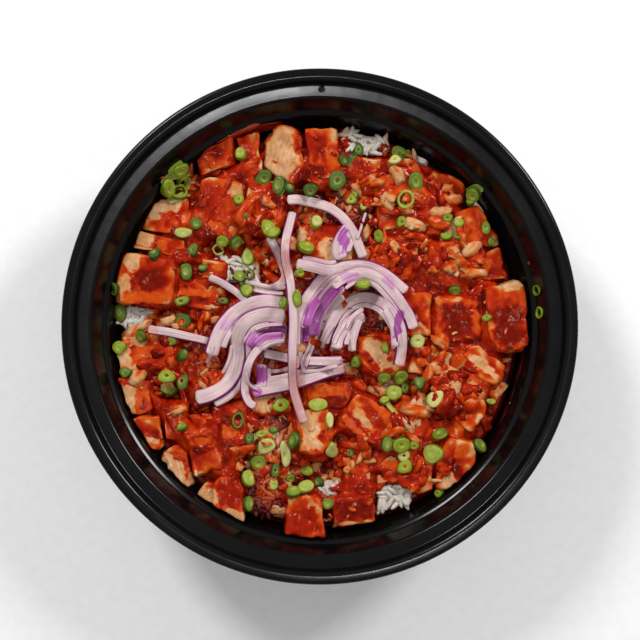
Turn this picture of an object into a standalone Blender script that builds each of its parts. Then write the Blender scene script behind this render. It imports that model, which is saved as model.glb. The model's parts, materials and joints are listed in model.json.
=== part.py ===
"""Black takeout bowl of rice topped with sauced chicken, sliced red onion and scallions.

The origin is the middle of the bowl's base, +Z up, metres. Places in the plan are read on a plan grid whose
steps are PLAN_STEP long: x counts to the right, y counts towards the front. All sizes are in millimetres and
are turned to metres when a mesh is made.
"""

import itertools
import math
import random

import bmesh
import bpy
import numpy as np

# Driving dimensions
METRE = 0.001
FLOOR_HEIGHT = 1.2
BED_TOP = 27.0
GAP = 0.3
SPREAD = 2.2
EDGE_START = 62.0
BOWL_SEGMENTS = 52
BED_SEGMENTS = 30

# The plan grid
PLAN_STEP = 0.369
PLAN_CENTRE = (320.0, 326.0)

# Food sizes
SCALLION_THICKNESS = 1.5
SCALLION_SUNK = 0.6
ONION_THICKNESS = 1.7
GRAIN_LENGTH = 6.4
GRAIN_WIDTH = 2.2
STRIP_STIFFNESS = 12
FIELD_CELL = 0.35
FIELD_HALF = 95.0
FLAT_ANGLE = 1.5
SEED = 35

# Radius and height of the bowl's inner face, from the rim to the floor
INNER_PROFILE = [
    (91.6, 50.0), (89.2, 50.0), (88.2, 49.4), (87.2, 46.2), (83.0, 45.5), (82.3, 44.9), (79.7, 38.3),
    (78.4, 37.6), (77.9, 37.0), (75.3, 26.0), (73.0, 16.0), (70.2, 8.0), (66.0, 3.4), (60.0, 1.2),
]

# Radius and height of the bowl's outer face, from the base to the rim
OUTER_PROFILE = [
    (58.0, 0.0), (61.0, 0.2), (67.2, 2.6), (71.4, 7.5), (74.2, 15.8), (79.1, 36.6), (80.9, 37.6), (83.4, 44.3),
    (87.6, 44.7), (88.6, 48.2), (91.2, 48.7), (91.5, 45.4), (92.5, 45.4), (92.5, 49.3),
]

# Chicken pieces: plan x, plan y, width, depth, turn in degrees, height of the top
CHICKEN = {
    "chicken_01": (170, 216, 17.5, 14.0, 0, 34.0),
    "chicken_02": (213, 155, 20.0, 18.5, 20, 36.0),
    "chicken_03": (216, 205, 19.0, 22.0, -8, 36.0),
    "chicken_04": (250, 150, 15.0, 18.5, 5, 35.0),
    "chicken_05": (262, 205, 13.5, 18.5, -5, 34.5),
    "chicken_06": (284, 153, 15.5, 18.5, -30, 36.5),
    "chicken_07": (318, 155, 17.0, 21.5, 6, 36.5),
    "chicken_08": (368, 170, 15.0, 12.5, 0, 33.5),
    "chicken_09": (400, 172, 13.5, 12.5, 10, 34.0),
    "chicken_10": (393, 205, 12.5, 15.0, 0, 34.0),
    "chicken_11": (447, 190, 15.0, 11.0, -20, 33.0),
    "chicken_12": (432, 214, 15.0, 11.5, 25, 34.0),
    "chicken_13": (475, 233, 12.5, 18.5, 18, 34.5),
    "chicken_14": (332, 245, 15.0, 14.0, 0, 33.0),
    "chicken_15": (392, 262, 16.0, 14.0, -10, 34.0),
    "chicken_16": (447, 260, 15.5, 12.0, 0, 34.5),
    "chicken_17": (489, 264, 12.5, 14.0, 12, 33.5),
    "chicken_18": (508, 315, 15.0, 25.0, 4, 37.5),
    "chicken_19": (457, 320, 16.5, 17.0, 4, 36.0),
    "chicken_20": (418, 315, 13.5, 15.5, 0, 34.0),
    "chicken_21": (430, 362, 15.0, 11.5, -15, 34.5),
    "chicken_22": (483, 364, 18.5, 8.5, -37, 35.0),
    "chicken_23": (376, 354, 19.0, 9.5, -48, 34.0),
    "chicken_24": (456, 402, 23.0, 12.5, -42, 36.5),
    "chicken_25": (410, 418, 11.0, 13.5, 0, 35.0),
    "chicken_26": (370, 420, 22.5, 15.5, -30, 37.0),
    "chicken_27": (330, 393, 15.5, 10.0, 5, 34.5),
    "chicken_28": (314, 432, 10.5, 17.0, 0, 36.0),
    "chicken_29": (455, 461, 11.0, 19.5, -15, 36.0),
    "chicken_30": (392, 468, 15.0, 12.5, 0, 34.5),
    "chicken_31": (421, 476, 9.5, 11.5, 0, 34.0),
    "chicken_32": (362, 476, 11.5, 16.0, 0, 34.0),
    "chicken_33": (357, 508, 18.5, 11.5, 6, 36.5),
    "chicken_34": (304, 523, 18.5, 18.5, 8, 39.0),
    "chicken_35": (232, 501, 10.5, 18.5, 4, 37.0),
    "chicken_36": (207, 451, 17.5, 17.0, 10, 38.0),
    "chicken_37": (228, 430, 12.5, 16.5, 0, 35.0),
    "chicken_38": (178, 426, 11.5, 14.0, 0, 35.0),
    "chicken_39": (150, 429, 12.5, 14.0, 10, 35.0),
    "chicken_40": (130, 398, 14.0, 14.0, 0, 35.5),
    "chicken_41": (174, 467, 13.0, 15.0, 40, 36.0),
    "chicken_42": (147, 355, 24.0, 12.0, 8, 36.0),
    "chicken_43": (147, 278, 22.5, 18.0, 6, 37.0),
    "chicken_44": (160, 245, 18.0, 11.0, -12, 34.5),
    "chicken_45": (193, 294, 17.5, 9.0, -5, 34.0),
}

# Small scraps of chicken: plan x, plan y, width, depth, turn, top, and the piece that each one is joined to
SCRAPS = [
    (303, 226, 9.0, 13.0, 0, 33.0, "chicken_14"),
    (424, 252, 12.0, 7.0, 0, 33.5, "chicken_15"),
    (447, 371, 10.0, 9.0, 0, 33.5, "chicken_21"),
    (438, 415, 9.0, 6.0, -35, 34.0, "chicken_24"),
    (336, 472, 13.0, 7.0, 0, 33.0, "chicken_32"),
    (196, 478, 10.0, 8.0, 0, 33.5, "chicken_36"),
    (208, 499, 13.0, 11.0, 0, 35.0, "chicken_35"),
    (248, 455, 9.5, 10.0, 0, 33.5, "chicken_37"),
    (202, 268, 16.0, 5.0, -8, 34.0, "rice_inner_left"),
    (199, 312, 6.5, 7.5, 0, 33.0, "chicken_45"),
    (137, 338, 11.0, 8.0, 0, 33.0, "chicken_42"),
    (160, 330, 8.0, 8.0, 0, 32.5, "chicken_42"),
    (272, 402, 16.0, 8.0, 0, 32.0, "rice_lower"),
    (224, 314, 9.5, 9.0, 0, 32.0, "rice_middle"),
    (202, 350, 9.0, 8.0, 0, 31.5, "rice_left"),
    (203, 382, 8.0, 7.0, 0, 31.5, "rice_left"),
]

# Rice that shows between the pieces: plan x, plan y, width, depth, turn, top and the number of grains
RICE = {
    "rice_top": (366, 142, 18.0, 8.5, -8, 30.5, 8),
    "rice_upper_left": (190, 176, 6.0, 5.0, 0, 30.0, 1),
    "rice_upper_right": (418, 158, 9.0, 5.0, -20, 29.5, 2),
    "rice_right": (478, 205, 8.0, 5.0, -50, 29.0, 1),
    "rice_right_low": (470, 288, 9.0, 6.0, 0, 29.0, 2),
    "rice_far_left": (130, 314, 12.0, 8.0, 0, 30.0, 4),
    "rice_inner_left": (236, 270, 15.0, 9.0, 0, 30.5, 3),
    "rice_left": (198, 362, 14.0, 18.0, 0, 29.5, 2),
    "rice_front": (394, 493, 18.0, 10.0, 10, 31.0, 8),
    "rice_front_middle": (331, 492, 8.0, 8.0, 0, 29.5, 2),
    "rice_front_left": (268, 490, 14.0, 18.0, 0, 31.0, 2),
    "rice_lower": (268, 440, 16.0, 16.0, 0, 31.0, 1),
    "rice_inner_right": (394, 388, 11.0, 9.0, 0, 30.0, 1),
    "rice_upper": (352, 205, 15.0, 11.0, 0, 30.0, 1),
    "rice_middle": (296, 330, 46.0, 45.0, 0, 28.3, 1),
    "rice_middle_right": (370, 308, 20.0, 20.0, 0, 28.3, 1),
}

# Scallion pieces: plan x, plan y, width, depth, turn
SCALLIONS = [
    (180, 171, 6.6, 6.6, 0), (167, 188, 5.2, 8.0, 0), (197, 224, 4.8, 4.8, 0), (240, 153, 4.8, 4.8, 0),
    (238, 200, 4.4, 5.5, 0), (244, 212, 4.8, 5.2, 0), (183, 232, 6.2, 4.4, 0), (222, 240, 5.2, 4.4, 0),
    (156, 256, 4.4, 4.8, 0), (279, 185, 4.8, 7.2, 0), (310, 190, 5.2, 5.2, 0), (338, 180, 6.6, 6.6, 0),
    (343, 159, 4.4, 4.4, 0), (359, 148, 3.8, 6.4, 0), (352, 198, 4.8, 4.8, 0), (268, 228, 5.5, 6.2, 0),
    (316, 221, 4.4, 6.2, 35), (306, 246, 7.0, 7.4, 0), (380, 235, 3.8, 4.8, 0), (402, 150, 6.2, 5.6, 0),
    (416, 180, 5.2, 7.2, 0), (402, 221, 3.6, 4.0, 0), (475, 194, 5.6, 5.6, 0), (448, 236, 5.6, 4.4, 0),
    (487, 226, 3.6, 5.0, 0), (488, 318, 4.4, 3.2, 0), (457, 289, 4.6, 3.6, 0), (417, 341, 6.0, 4.6, 0),
    (358, 362, 3.8, 5.2, 0), (400, 376, 5.2, 5.2, 0), (394, 392, 5.6, 5.6, 0), (421, 384, 4.4, 5.0, 0),
    (433, 399, 5.2, 8.0, 30), (440, 435, 6.2, 6.2, 0), (433, 453, 7.0, 6.4, 0), (400, 443, 6.6, 6.6, 0),
    (386, 444, 3.8, 6.2, 0), (404, 466, 5.2, 4.6, 0), (474, 444, 5.0, 4.0, 0), (317, 404, 6.0, 5.6, 0),
    (281, 406, 5.6, 4.4, 0), (240, 440, 3.6, 5.2, 0), (268, 446, 7.2, 5.8, 0), (285, 455, 3.8, 8.6, 0),
    (295, 441, 5.2, 6.4, 0), (259, 463, 6.2, 6.0, 0), (248, 478, 5.2, 5.8, 0), (248, 503, 3.8, 6.2, 0),
    (275, 474, 3.8, 4.8, 0), (309, 471, 5.0, 4.2, 0), (307, 486, 6.4, 5.0, 0), (294, 494, 5.4, 4.8, 0),
    (320, 483, 4.2, 4.2, 0), (332, 449, 4.8, 6.2, 0), (328, 502, 4.6, 4.0, 0), (185, 428, 4.4, 3.2, 0),
    (168, 376, 6.4, 5.2, 0), (168, 390, 6.2, 4.4, 0), (183, 356, 3.8, 7.6, 0), (184, 382, 4.6, 6.4, 0),
    (120, 349, 5.0, 5.2, 0), (143, 336, 4.8, 5.4, 0), (181, 301, 5.6, 3.8, -20), (182, 320, 6.6, 6.0, 0),
    (185, 272, 5.6, 6.2, 0), (240, 277, 5.2, 4.6, 0), (247, 290, 5.2, 4.8, 0), (120, 312, 4.6, 7.0, 0),
    (127, 374, 4.8, 4.4, 0), (362, 286, 5.2, 3.8, 0), (298, 300, 3.6, 6.0, 0), (480, 402, 3.8, 3.0, 0),
]

# Open scallion rings: plan x, plan y, width, depth
SCALLION_RINGS = [
    (179, 191, 7.0, 6.6), (264, 176, 6.2, 6.2), (406, 198, 6.4, 7.4), (238, 420, 4.6, 7.0),
]

# Scallion rings on the bowl's wall: plan x and plan y of the middle, size
WALL_RINGS = [(538, 291, 4.6), (536, 314, 4.8)]

# Onion strips from the lowest to the highest: width, and the plan points that the strip runs through
ONIONS = {
    "onion_01": [
        (3.7, [(287, 200), (302, 199), (318, 202), (332, 208), (344, 218), (353, 231), (359, 245), (364, 258)]),
        (5.5, [(351, 226), (343, 238), (339, 250), (342, 260)]),
    ],
    "onion_02": [(3.4, [(270, 237), (277, 250), (283, 264), (285, 277), (275, 287), (260, 288), (250, 272)])],
    "onion_03": [
        (5.0, [(346, 367), (328, 372), (308, 379), (288, 385), (268, 389), (252, 392)]),
        (4.0, [(262, 364), (262, 376), (262, 388)]),
    ],
    "onion_04": [(3.6, [(343, 361), (320, 362), (300, 361), (280, 357), (264, 354)])],
    "onion_05": [(3.2, [(149, 330), (170, 333), (192, 338), (213, 343)])],
    "onion_06": [
        (5.4, [(286, 303), (268, 301), (250, 304), (235, 312), (224, 324), (217, 338), (211, 356)]),
        (2.6, [(209, 277), (222, 283), (236, 292), (247, 302)]),
    ],
    "onion_07": [
        (5.8, [(286, 318), (268, 316), (252, 320), (242, 329), (238, 342), (238, 358), (234, 374), (225, 387),
               (211, 395), (196, 399)]),
        (6.8, [(287, 331), (271, 331), (258, 337), (250, 348)]),
    ],
    "onion_08": [
        (3.2, [(286, 337), (274, 340), (262, 347), (252, 359), (247, 374), (245, 390), (249, 402), (256, 407)]),
    ],
    "onion_09": [
        (4.0, [(296, 347), (296, 327), (301, 309), (310, 292), (323, 277), (340, 268), (358, 265), (374, 268),
               (388, 276), (400, 286), (407, 292)]),
        (4.2, [(296, 264), (312, 267), (330, 271), (344, 268)]),
    ],
    "onion_10": [
        (6.2, [(312, 336), (314, 323), (319, 310), (329, 296), (341, 284)]),
        (4.4, [(333, 288), (347, 278), (362, 274), (378, 279), (391, 291), (401, 305), (409, 318), (413, 330)]),
    ],
    "onion_11": [
        (4.3, [(325, 344), (330, 329), (337, 315), (347, 304), (359, 298), (371, 298), (382, 304), (392, 315),
               (399, 328), (401, 342), (400, 356), (398, 367)]),
        (3.0, [(385, 310), (391, 322), (394, 334), (395, 348)]),
    ],
    "onion_12": [
        (4.6, [(366, 317), (354, 320), (345, 328), (339, 339), (337, 350)]),
        (3.0, [(360, 320), (356, 330), (353, 341), (352, 352)]),
    ],
    "onion_13": [
        (3.4, [(293, 211), (289, 228), (286, 245), (286, 262), (290, 280), (292, 300), (294, 322), (293, 345),
               (293, 368), (294, 388), (298, 404), (304, 423)]),
    ],
}


def plan_point(x, y):
    """The place in millimetres of a point on the plan grid."""
    return np.array([(x - PLAN_CENTRE[0]) * PLAN_STEP, (PLAN_CENTRE[1] - y) * PLAN_STEP])


def wall_radius(z):
    """The bowl's inner radius beside the food, a straight slope that stays inside the real wall."""
    return 75.3 + (z - 26.0) * 0.23


def clear_file():
    """Empties the file."""
    for obj in list(bpy.data.objects):
        bpy.data.objects.remove(obj)


def add_material(name, colour, roughness):
    """One plain surface."""
    material = bpy.data.materials.new(name)
    material.use_nodes = True
    shader = material.node_tree.nodes["Principled BSDF"]
    shader.inputs["Base Color"].default_value = (*colour, 1.0)
    shader.inputs["Roughness"].default_value = roughness
    return material


def add_object(name, vertices, faces, material, collection=None):
    """A mesh object from points in millimetres."""
    mesh = bpy.data.meshes.new(name)
    mesh.from_pydata([tuple(float(c) * METRE for c in v) for v in vertices], [], faces)
    mesh.validate()
    obj = bpy.data.objects.new(name, mesh)
    obj.data.materials.append(material)
    (collection or bpy.context.scene.collection).objects.link(obj)
    return obj


def revolve(profile, segments):
    """Points and faces of a closed body turned from a profile that starts and ends on the axis."""
    angles = [2 * math.pi * k / segments for k in range(segments)]
    vertices = [(0.0, 0.0, profile[0][1])]
    for radius, height in profile[1:-1]:
        vertices += [(radius * math.cos(a), radius * math.sin(a), height) for a in angles]
    vertices.append((0.0, 0.0, profile[-1][1]))
    faces = []
    rings = len(profile) - 2
    last = len(vertices) - 1
    for k in range(segments):
        n = (k + 1) % segments
        faces.append((0, 1 + n, 1 + k))
        for ring in range(rings - 1):
            a = 1 + ring * segments
            b = a + segments
            faces.append((a + k, a + n, b + n, b + k))
        a = 1 + (rings - 1) * segments
        faces.append((a + k, a + n, last))
    return vertices, faces


def points_of(planes):
    """The corners of the convex body inside a set of planes, rows of normal and distance."""
    normals = planes[:, :3]
    distances = planes[:, 3]
    triples = np.array(list(itertools.combinations(range(len(planes)), 3)))
    systems = normals[triples]
    sound = np.abs(np.linalg.det(systems)) > 2e-3
    rights = distances[triples][sound]
    found = np.linalg.solve(systems[sound], rights[..., None])[..., 0]
    inside = (found @ normals.T <= distances + 1e-5).all(axis=1)
    return np.unique(np.round(found[inside], 4), axis=0)


def convex_object(name, points, material, collection=None):
    """A mesh object that is the convex hull of points in millimetres."""
    body = bmesh.new()
    for point in points:
        body.verts.new([float(c) * METRE for c in point])
    bmesh.ops.remove_doubles(body, verts=body.verts, dist=0.0001)
    hull = bmesh.ops.convex_hull(body, input=body.verts)
    spare = {item for item in hull["geom_interior"] + hull["geom_unused"] if isinstance(item, bmesh.types.BMVert)}
    bmesh.ops.delete(body, geom=list(spare), context="VERTS")
    bmesh.ops.recalc_face_normals(body, faces=body.faces)
    mesh = bpy.data.meshes.new(name)
    body.to_mesh(mesh)
    body.free()
    obj = bpy.data.objects.new(name, mesh)
    obj.data.materials.append(material)
    (collection or bpy.context.scene.collection).objects.link(obj)
    return obj


class Cell:
    """A knife-cut block or a mound, held as planes, with the upright planes that fence it off from others."""

    def __init__(self, name, spec, bottom, rng, cut):
        x, y, self.width, self.depth, turn, self.top = spec[:6]
        self.name = name
        self.bottom = bottom
        self.middle = plan_point(x, y)
        angle = math.radians(turn)
        self.across = np.array([math.cos(angle), math.sin(angle)])
        self.along = np.array([-math.sin(angle), math.cos(angle)])
        self.fences = []
        self.own = self.block_planes(rng, cut)

    def reach(self, direction):
        """Half of the block's extent along a direction of the plan."""
        wide = abs(direction @ self.across) * self.width / 2
        return wide + abs(direction @ self.along) * self.depth / 2

    def plane(self, direction, distance):
        """A world plane from a direction in the block's own axes and a distance from its middle."""
        d = np.array(direction, float)
        d = d / np.linalg.norm(d)
        flat = self.across * d[0] + self.along * d[1]
        normal = np.array([flat[0], flat[1], d[2]])
        centre = np.array([self.middle[0], self.middle[1], (self.top + self.bottom) / 2])
        return [*normal, normal @ centre + distance]

    def block_planes(self, rng, cut):
        """The six sides, leaning a little, and slanting cuts over the upper edges and the corners."""
        spread = SPREAD * cut
        a, b, c = self.width / 2 + spread, self.depth / 2 + spread, (self.top - self.bottom) / 2
        lean = 0.16 * cut
        planes = [self.plane((0, 0, -1), c)]
        planes.append(self.plane((rng.uniform(-lean, lean), rng.uniform(-lean, lean), 1), c * 0.97))
        for sign in (-1, 1):
            planes.append(self.plane((sign, rng.uniform(-lean, lean), rng.uniform(0.0, 0.25)), a))
            planes.append(self.plane((rng.uniform(-lean, lean), sign, rng.uniform(0.0, 0.25)), b))
            planes.append(self.plane((sign, 0, rng.uniform(0.7, 1.2)), (a * 0.66 + c * 0.74) * rng.uniform(0.92, 1)))
            planes.append(self.plane((0, sign, rng.uniform(0.7, 1.2)), (b * 0.66 + c * 0.74) * rng.uniform(0.92, 1)))
            for other in (-1, 1):
                side = math.hypot(a, b)
                direction = (sign * b / side, other * a / side, rng.uniform(0.05, 0.4))
                planes.append(self.plane(direction, 2 * a * b / side * rng.uniform(0.74, 0.9)))
        return planes

    def planes(self):
        """Every plane that bounds the block."""
        return np.array(self.own + self.fences)


def fence_between(first, second, rng):
    """Sets the upright plane that parts two blocks along the direction in which they are furthest apart."""
    step = second.middle - first.middle
    directions = [first.across, first.along, second.across, second.along, step]
    best = None
    for direction in directions:
        unit = direction / np.linalg.norm(direction)
        unit = unit if unit @ step >= 0 else -unit
        space = unit @ step - first.reach(unit) - second.reach(unit)
        if best is None or space > best[0]:
            best = (space, unit)
    space, unit = best
    if space > 16.0:
        return
    place = unit @ first.middle + first.reach(unit) + space / 2
    slant = rng.uniform(-0.16, 0.16)
    normal = np.array([unit[0], unit[1], slant]) / math.hypot(1.0, slant)
    level = (min(first.top, second.top) + BED_TOP) / 2
    distance = normal @ np.array([unit[0] * place, unit[1] * place, level])
    first.fences.append([*normal, distance - GAP / 2])
    second.fences.append([*(-normal), -distance - GAP / 2])


def fence_from_wall(cell):
    """Keeps a block inside the bowl: planes along the wall's slope every ten degrees, where it comes near, and
    an upright plane that stops its spread towards the wall."""
    out = cell.middle / np.linalg.norm(cell.middle)
    edge = out @ cell.middle + cell.reach(out)
    if edge > EDGE_START:
        cell.fences.append([out[0], out[1], 0.0, edge - 0.5])
    for k in range(36):
        angle = math.radians(10 * k)
        unit = np.array([math.cos(angle), math.sin(angle)])
        if unit @ cell.middle + cell.reach(unit) + 3.0 < wall_radius(BED_TOP):
            continue
        normal = np.array([unit[0], unit[1], -0.23])
        length = np.linalg.norm(normal)
        distance = (wall_radius(0.0) - GAP - 0.1) / length
        cell.fences.append([*(normal / length), distance])


def make_cells(rng):
    """Every chicken block and rice mound, fenced off from its neighbours and from the wall."""
    cells = {}
    for name, spec in CHICKEN.items():
        cells[name] = Cell(name, spec, BED_TOP + GAP, rng, 1.0)
    for name, spec in RICE.items():
        cells[name] = Cell(name, spec, BED_TOP - 2.7, rng, 0.4)
    for first, second in itertools.combinations(cells.values(), 2):
        if first.name in RICE and second.name in RICE:
            continue
        fence_between(first, second, rng)
    for cell in cells.values():
        fence_from_wall(cell)
    return cells


def heights_over(planes, x, y):
    """The height of a convex body's top over plan points, minus infinity beside it, with the top face's number."""
    n = planes[:, :3]
    d = planes[:, 3]
    value = d[:, None] - n[:, :1] * x.ravel() - n[:, 1:2] * y.ravel()
    upper = n[:, 2] > 0.02
    lower = n[:, 2] < -0.02
    level = ~upper & ~lower
    tops = value[upper] / n[upper, 2:3]
    top = tops.min(axis=0)
    face = np.flatnonzero(upper)[tops.argmin(axis=0)]
    sound = (value[level] >= 0).all(axis=0)
    sound &= top >= (value[lower] / n[lower, 2:3]).max(axis=0)
    return np.where(sound, top, -np.inf).reshape(x.shape), face.reshape(x.shape)


class HeightField:
    """The height of what lies in the bowl, on a square grid of plan points."""

    def __init__(self):
        line = np.arange(-FIELD_HALF, FIELD_HALF + FIELD_CELL, FIELD_CELL)
        self.x, self.y = np.meshgrid(line, line)
        self.z = np.full(self.x.shape, BED_TOP)

    def near(self, place, radius):
        """The slices of the grid round a place."""
        low = [int((c - radius + FIELD_HALF) / FIELD_CELL) for c in place]
        high = [int((c + radius + FIELD_HALF) / FIELD_CELL) + 2 for c in place]
        return slice(max(low[1], 0), high[1]), slice(max(low[0], 0), high[0])

    def add_planes(self, planes, place, radius):
        """Lays a convex body into the field."""
        window = self.near(place, radius)
        top, _ = heights_over(planes, self.x[window], self.y[window])
        self.z[window] = np.maximum(self.z[window], top)

    def highest(self, place, radius):
        """The greatest height within a radius of a place."""
        window = self.near(place, radius)
        close = np.hypot(self.x[window] - place[0], self.y[window] - place[1]) <= radius
        return self.z[window][close].max()


def host_of(cells, place):
    """The block whose top is highest at a place, or else the nearest one, with the place moved onto it."""
    best = None
    for cell in cells.values():
        if np.linalg.norm(cell.middle - place) > 32.0:
            continue
        planes = cell.planes()
        for pull in (0.0, 0.1, 0.2, 0.3, 0.4, 0.5, 0.6):
            spot = place + (cell.middle - place) * pull
            top, face = heights_over(planes, np.array([spot[0]]), np.array([spot[1]]))
            if np.isfinite(top[0]) and planes[face[0]][2] > 0.55:
                shift = np.linalg.norm(spot - place)
                score = shift * 4.0 - top[0] * 0.1
                if best is None or score < best[0]:
                    best = (score, cell, spot, top[0], planes[face[0]][:3])
                break
    return best[1:]


def disc_planes(centre, normal, width, depth, turn, fences):
    """A low eight-sided disc on a slanting face, kept inside the fences of its host."""
    normal = np.array(normal) / np.linalg.norm(normal)
    angle = math.radians(turn)
    side = np.array([math.cos(angle), math.sin(angle), 0.0])
    side = side - normal * (side @ normal)
    side /= np.linalg.norm(side)
    other = np.cross(normal, side)
    planes = [[*normal, normal @ centre + SCALLION_THICKNESS - SCALLION_SUNK]]
    planes.append([*(-normal), -(normal @ centre) + SCALLION_SUNK])
    for k in range(8):
        bearing = math.radians(45 * k + 20)
        direction = side * math.cos(bearing) + other * math.sin(bearing)
        reach = math.hypot(math.cos(bearing) * width / 2, math.sin(bearing) * depth / 2)
        planes.append([*direction, direction @ centre + reach])
    planes.append([0.0, 0.0, -1.0, -(BED_TOP + 1.0)])
    return np.array(planes + fences)


def ring_points(centre, normal, width, depth):
    """Points and faces of a seven-sided open ring on a slanting face."""
    normal = np.array(normal) / np.linalg.norm(normal)
    side = np.cross(normal, (0.0, 1.0, 0.0))
    side /= np.linalg.norm(side)
    other = np.cross(normal, side)
    sides = 7
    vertices = []
    for scale, height in ((1.0, -0.8), (1.0, 1.0), (0.55, 1.0), (0.55, -0.8)):
        for k in range(sides):
            a = 2 * math.pi * k / sides
            flat = side * math.cos(a) * width / 2 * scale + other * math.sin(a) * depth / 2 * scale
            vertices.append(centre + flat + normal * height)
    faces = []
    for loop in range(4):
        for k in range(sides):
            n = (k + 1) % sides
            a, b = loop * sides, (loop + 1) % 4 * sides
            faces.append((a + k, b + k, b + n, a + n))
    return vertices, faces


def grain_points(centre, heading, rise):
    """Points and faces of one long grain with five sides and pointed ends."""
    along = np.array([math.cos(heading) * math.cos(rise), math.sin(heading) * math.cos(rise), math.sin(rise)])
    side = np.array([-math.sin(heading), math.cos(heading), 0.0])
    other = np.cross(along, side)
    vertices = [centre - along * GRAIN_LENGTH / 2]
    for place, scale in ((-0.3, 0.85), (0.22, 1.0)):
        for k in range(5):
            a = math.radians(72 * k)
            flat = (side * math.cos(a) + other * math.sin(a)) * GRAIN_WIDTH / 2 * scale
            vertices.append(centre + along * GRAIN_LENGTH * place + flat)
    vertices.append(centre + along * GRAIN_LENGTH / 2)
    faces = []
    for k in range(5):
        n = (k + 1) % 5
        faces.append((0, 1 + n, 1 + k))
        faces.append((1 + k, 1 + n, 6 + n, 6 + k))
        faces.append((6 + k, 6 + n, 11))
    return vertices, faces


def face_outwards(obj):
    """Turns a closed mesh's faces outwards."""
    body = bmesh.new()
    body.from_mesh(obj.data)
    bmesh.ops.recalc_face_normals(body, faces=body.faces)
    body.to_mesh(obj.data)
    body.free()


def keep_largest(mesh):
    """Drops every island of a mesh but the largest, and merges its flat neighbours where it stays closed."""
    body = bmesh.new()
    body.from_mesh(mesh)
    bmesh.ops.remove_doubles(body, verts=body.verts, dist=0.00001)
    unseen = set(body.verts)
    islands = []
    while unseen:
        stack = [unseen.pop()]
        island = set(stack)
        while stack:
            vertex = stack.pop()
            for edge in vertex.link_edges:
                other = edge.other_vert(vertex)
                if other in unseen:
                    unseen.discard(other)
                    island.add(other)
                    stack.append(other)
        islands.append(island)
    islands.sort(key=len)
    for island in islands[:-1]:
        bmesh.ops.delete(body, geom=list(island), context="VERTS")
    plain = body.copy()
    flat = math.radians(FLAT_ANGLE)
    bmesh.ops.dissolve_limit(body, angle_limit=flat, verts=body.verts, edges=body.edges, delimit=set())
    bmesh.ops.triangulate(body, faces=body.faces)
    bmesh.ops.triangulate(plain, faces=plain.faces)
    closed = all(edge.is_manifold for edge in body.edges)
    (body if closed else plain).to_mesh(mesh)
    body.free()
    plain.free()


def join_to(host, group, solver="EXACT"):
    """Joins every body of a group to the host and removes them."""
    if group.objects:
        union = host.modifiers.new("join", "BOOLEAN")
        union.operation = "UNION"
        union.operand_type = "COLLECTION"
        union.solver = solver
        union.collection = group
        bpy.context.view_layer.update()
        shown = host.evaluated_get(bpy.context.evaluated_depsgraph_get())
        joined = bpy.data.meshes.new_from_object(shown)
        host.modifiers.clear()
        host.data = joined
        for obj in list(group.objects):
            bpy.data.objects.remove(obj)
        keep_largest(host.data)
    bpy.data.collections.remove(group)


def new_group(name):
    """An empty collection for the bodies that are joined to one host."""
    group = bpy.data.collections.new("on_" + name)
    bpy.context.scene.collection.children.link(group)
    return group


def make_bowl(materials):
    """The bowl with its stepped wall, ledge and skirted rim, and two scallion rings on the wall."""
    floor = [(0.0, FLOOR_HEIGHT)]
    profile = [(0.0, 0.0)] + OUTER_PROFILE + INNER_PROFILE + floor
    vertices, faces = revolve(profile, BOWL_SEGMENTS)
    bowl = add_object("bowl", vertices, faces, materials["bowl"])
    face_outwards(bowl)
    group = new_group("bowl")
    for x, y, size in WALL_RINGS:
        place = plan_point(x, y)
        unit = place / np.linalg.norm(place)
        height = 41.0
        radius = 79.7 + (height - 38.3) * 2.6 / 6.6
        normal = np.array([-unit[0], -unit[1], 0.39])
        centre = np.array([unit[0] * radius, unit[1] * radius, height])
        points = points_of(disc_planes(centre, normal, size, size, 0, []))
        convex_object("ring", points, materials["bowl"], group)
    join_to(bowl, group)
    return bowl


def make_bed_core(materials):
    """The packed rice under everything, filling the bowl with a small gap to its wall."""
    wall = [(r - GAP - 0.15, z) for r, z in reversed(INNER_PROFILE) if 1.3 < z < 20.0]
    profile = [(0.0, FLOOR_HEIGHT + GAP), (59.0, FLOOR_HEIGHT + GAP)] + wall
    shoulder = BED_TOP - 2.0
    profile += [(wall_radius(shoulder) - 0.6, shoulder), (wall_radius(shoulder) - 2.6, BED_TOP), (0.0, BED_TOP)]
    vertices, faces = revolve(profile, BED_SEGMENTS)
    core = add_object("rice_bed", vertices, faces, materials["rice"])
    face_outwards(core)
    return core


def scrap_planes(spec, host, rng):
    """A small scrap beside or on its host, inside the host's fences."""
    scrap = Cell("scrap", spec, BED_TOP + GAP if host.name in CHICKEN else BED_TOP - 1.0, rng, 0.8)
    scrap.fences = list(host.fences)
    return scrap


def place_scallions(cells, field, parts):
    """Lays each scallion piece on its host and returns nothing; the pieces go into the hosts' lists."""
    for x, y, width, depth, turn in SCALLIONS:
        cell, spot, top, normal = host_of(cells, plan_point(x, y))
        centre = np.array([spot[0], spot[1], top])
        planes = disc_planes(centre, normal, width, depth, turn, cell.fences)
        points = points_of(planes)
        if len(points) < 6:
            continue
        parts[cell.name].append(("hull", points))
        field.add_planes(planes, spot, 7.0)
    for x, y, width, depth in SCALLION_RINGS:
        cell, spot, top, normal = host_of(cells, plan_point(x, y))
        vertices, faces = ring_points(np.array([spot[0], spot[1], top]), normal, width, depth)
        fences = np.array(cell.fences)
        inside = (np.array(vertices) @ fences[:, :3].T <= fences[:, 3]).all()
        if inside:
            parts[cell.name].append(("mesh", (vertices, faces)))
            field.z[field.near(spot, 3.6)] = np.maximum(field.z[field.near(spot, 3.6)], top + 1.6)
        else:
            planes = disc_planes(np.array([spot[0], spot[1], top]), normal, width, depth, 0, cell.fences)
            parts[cell.name].append(("hull", points_of(planes)))
            field.add_planes(planes, spot, 7.0)


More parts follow.
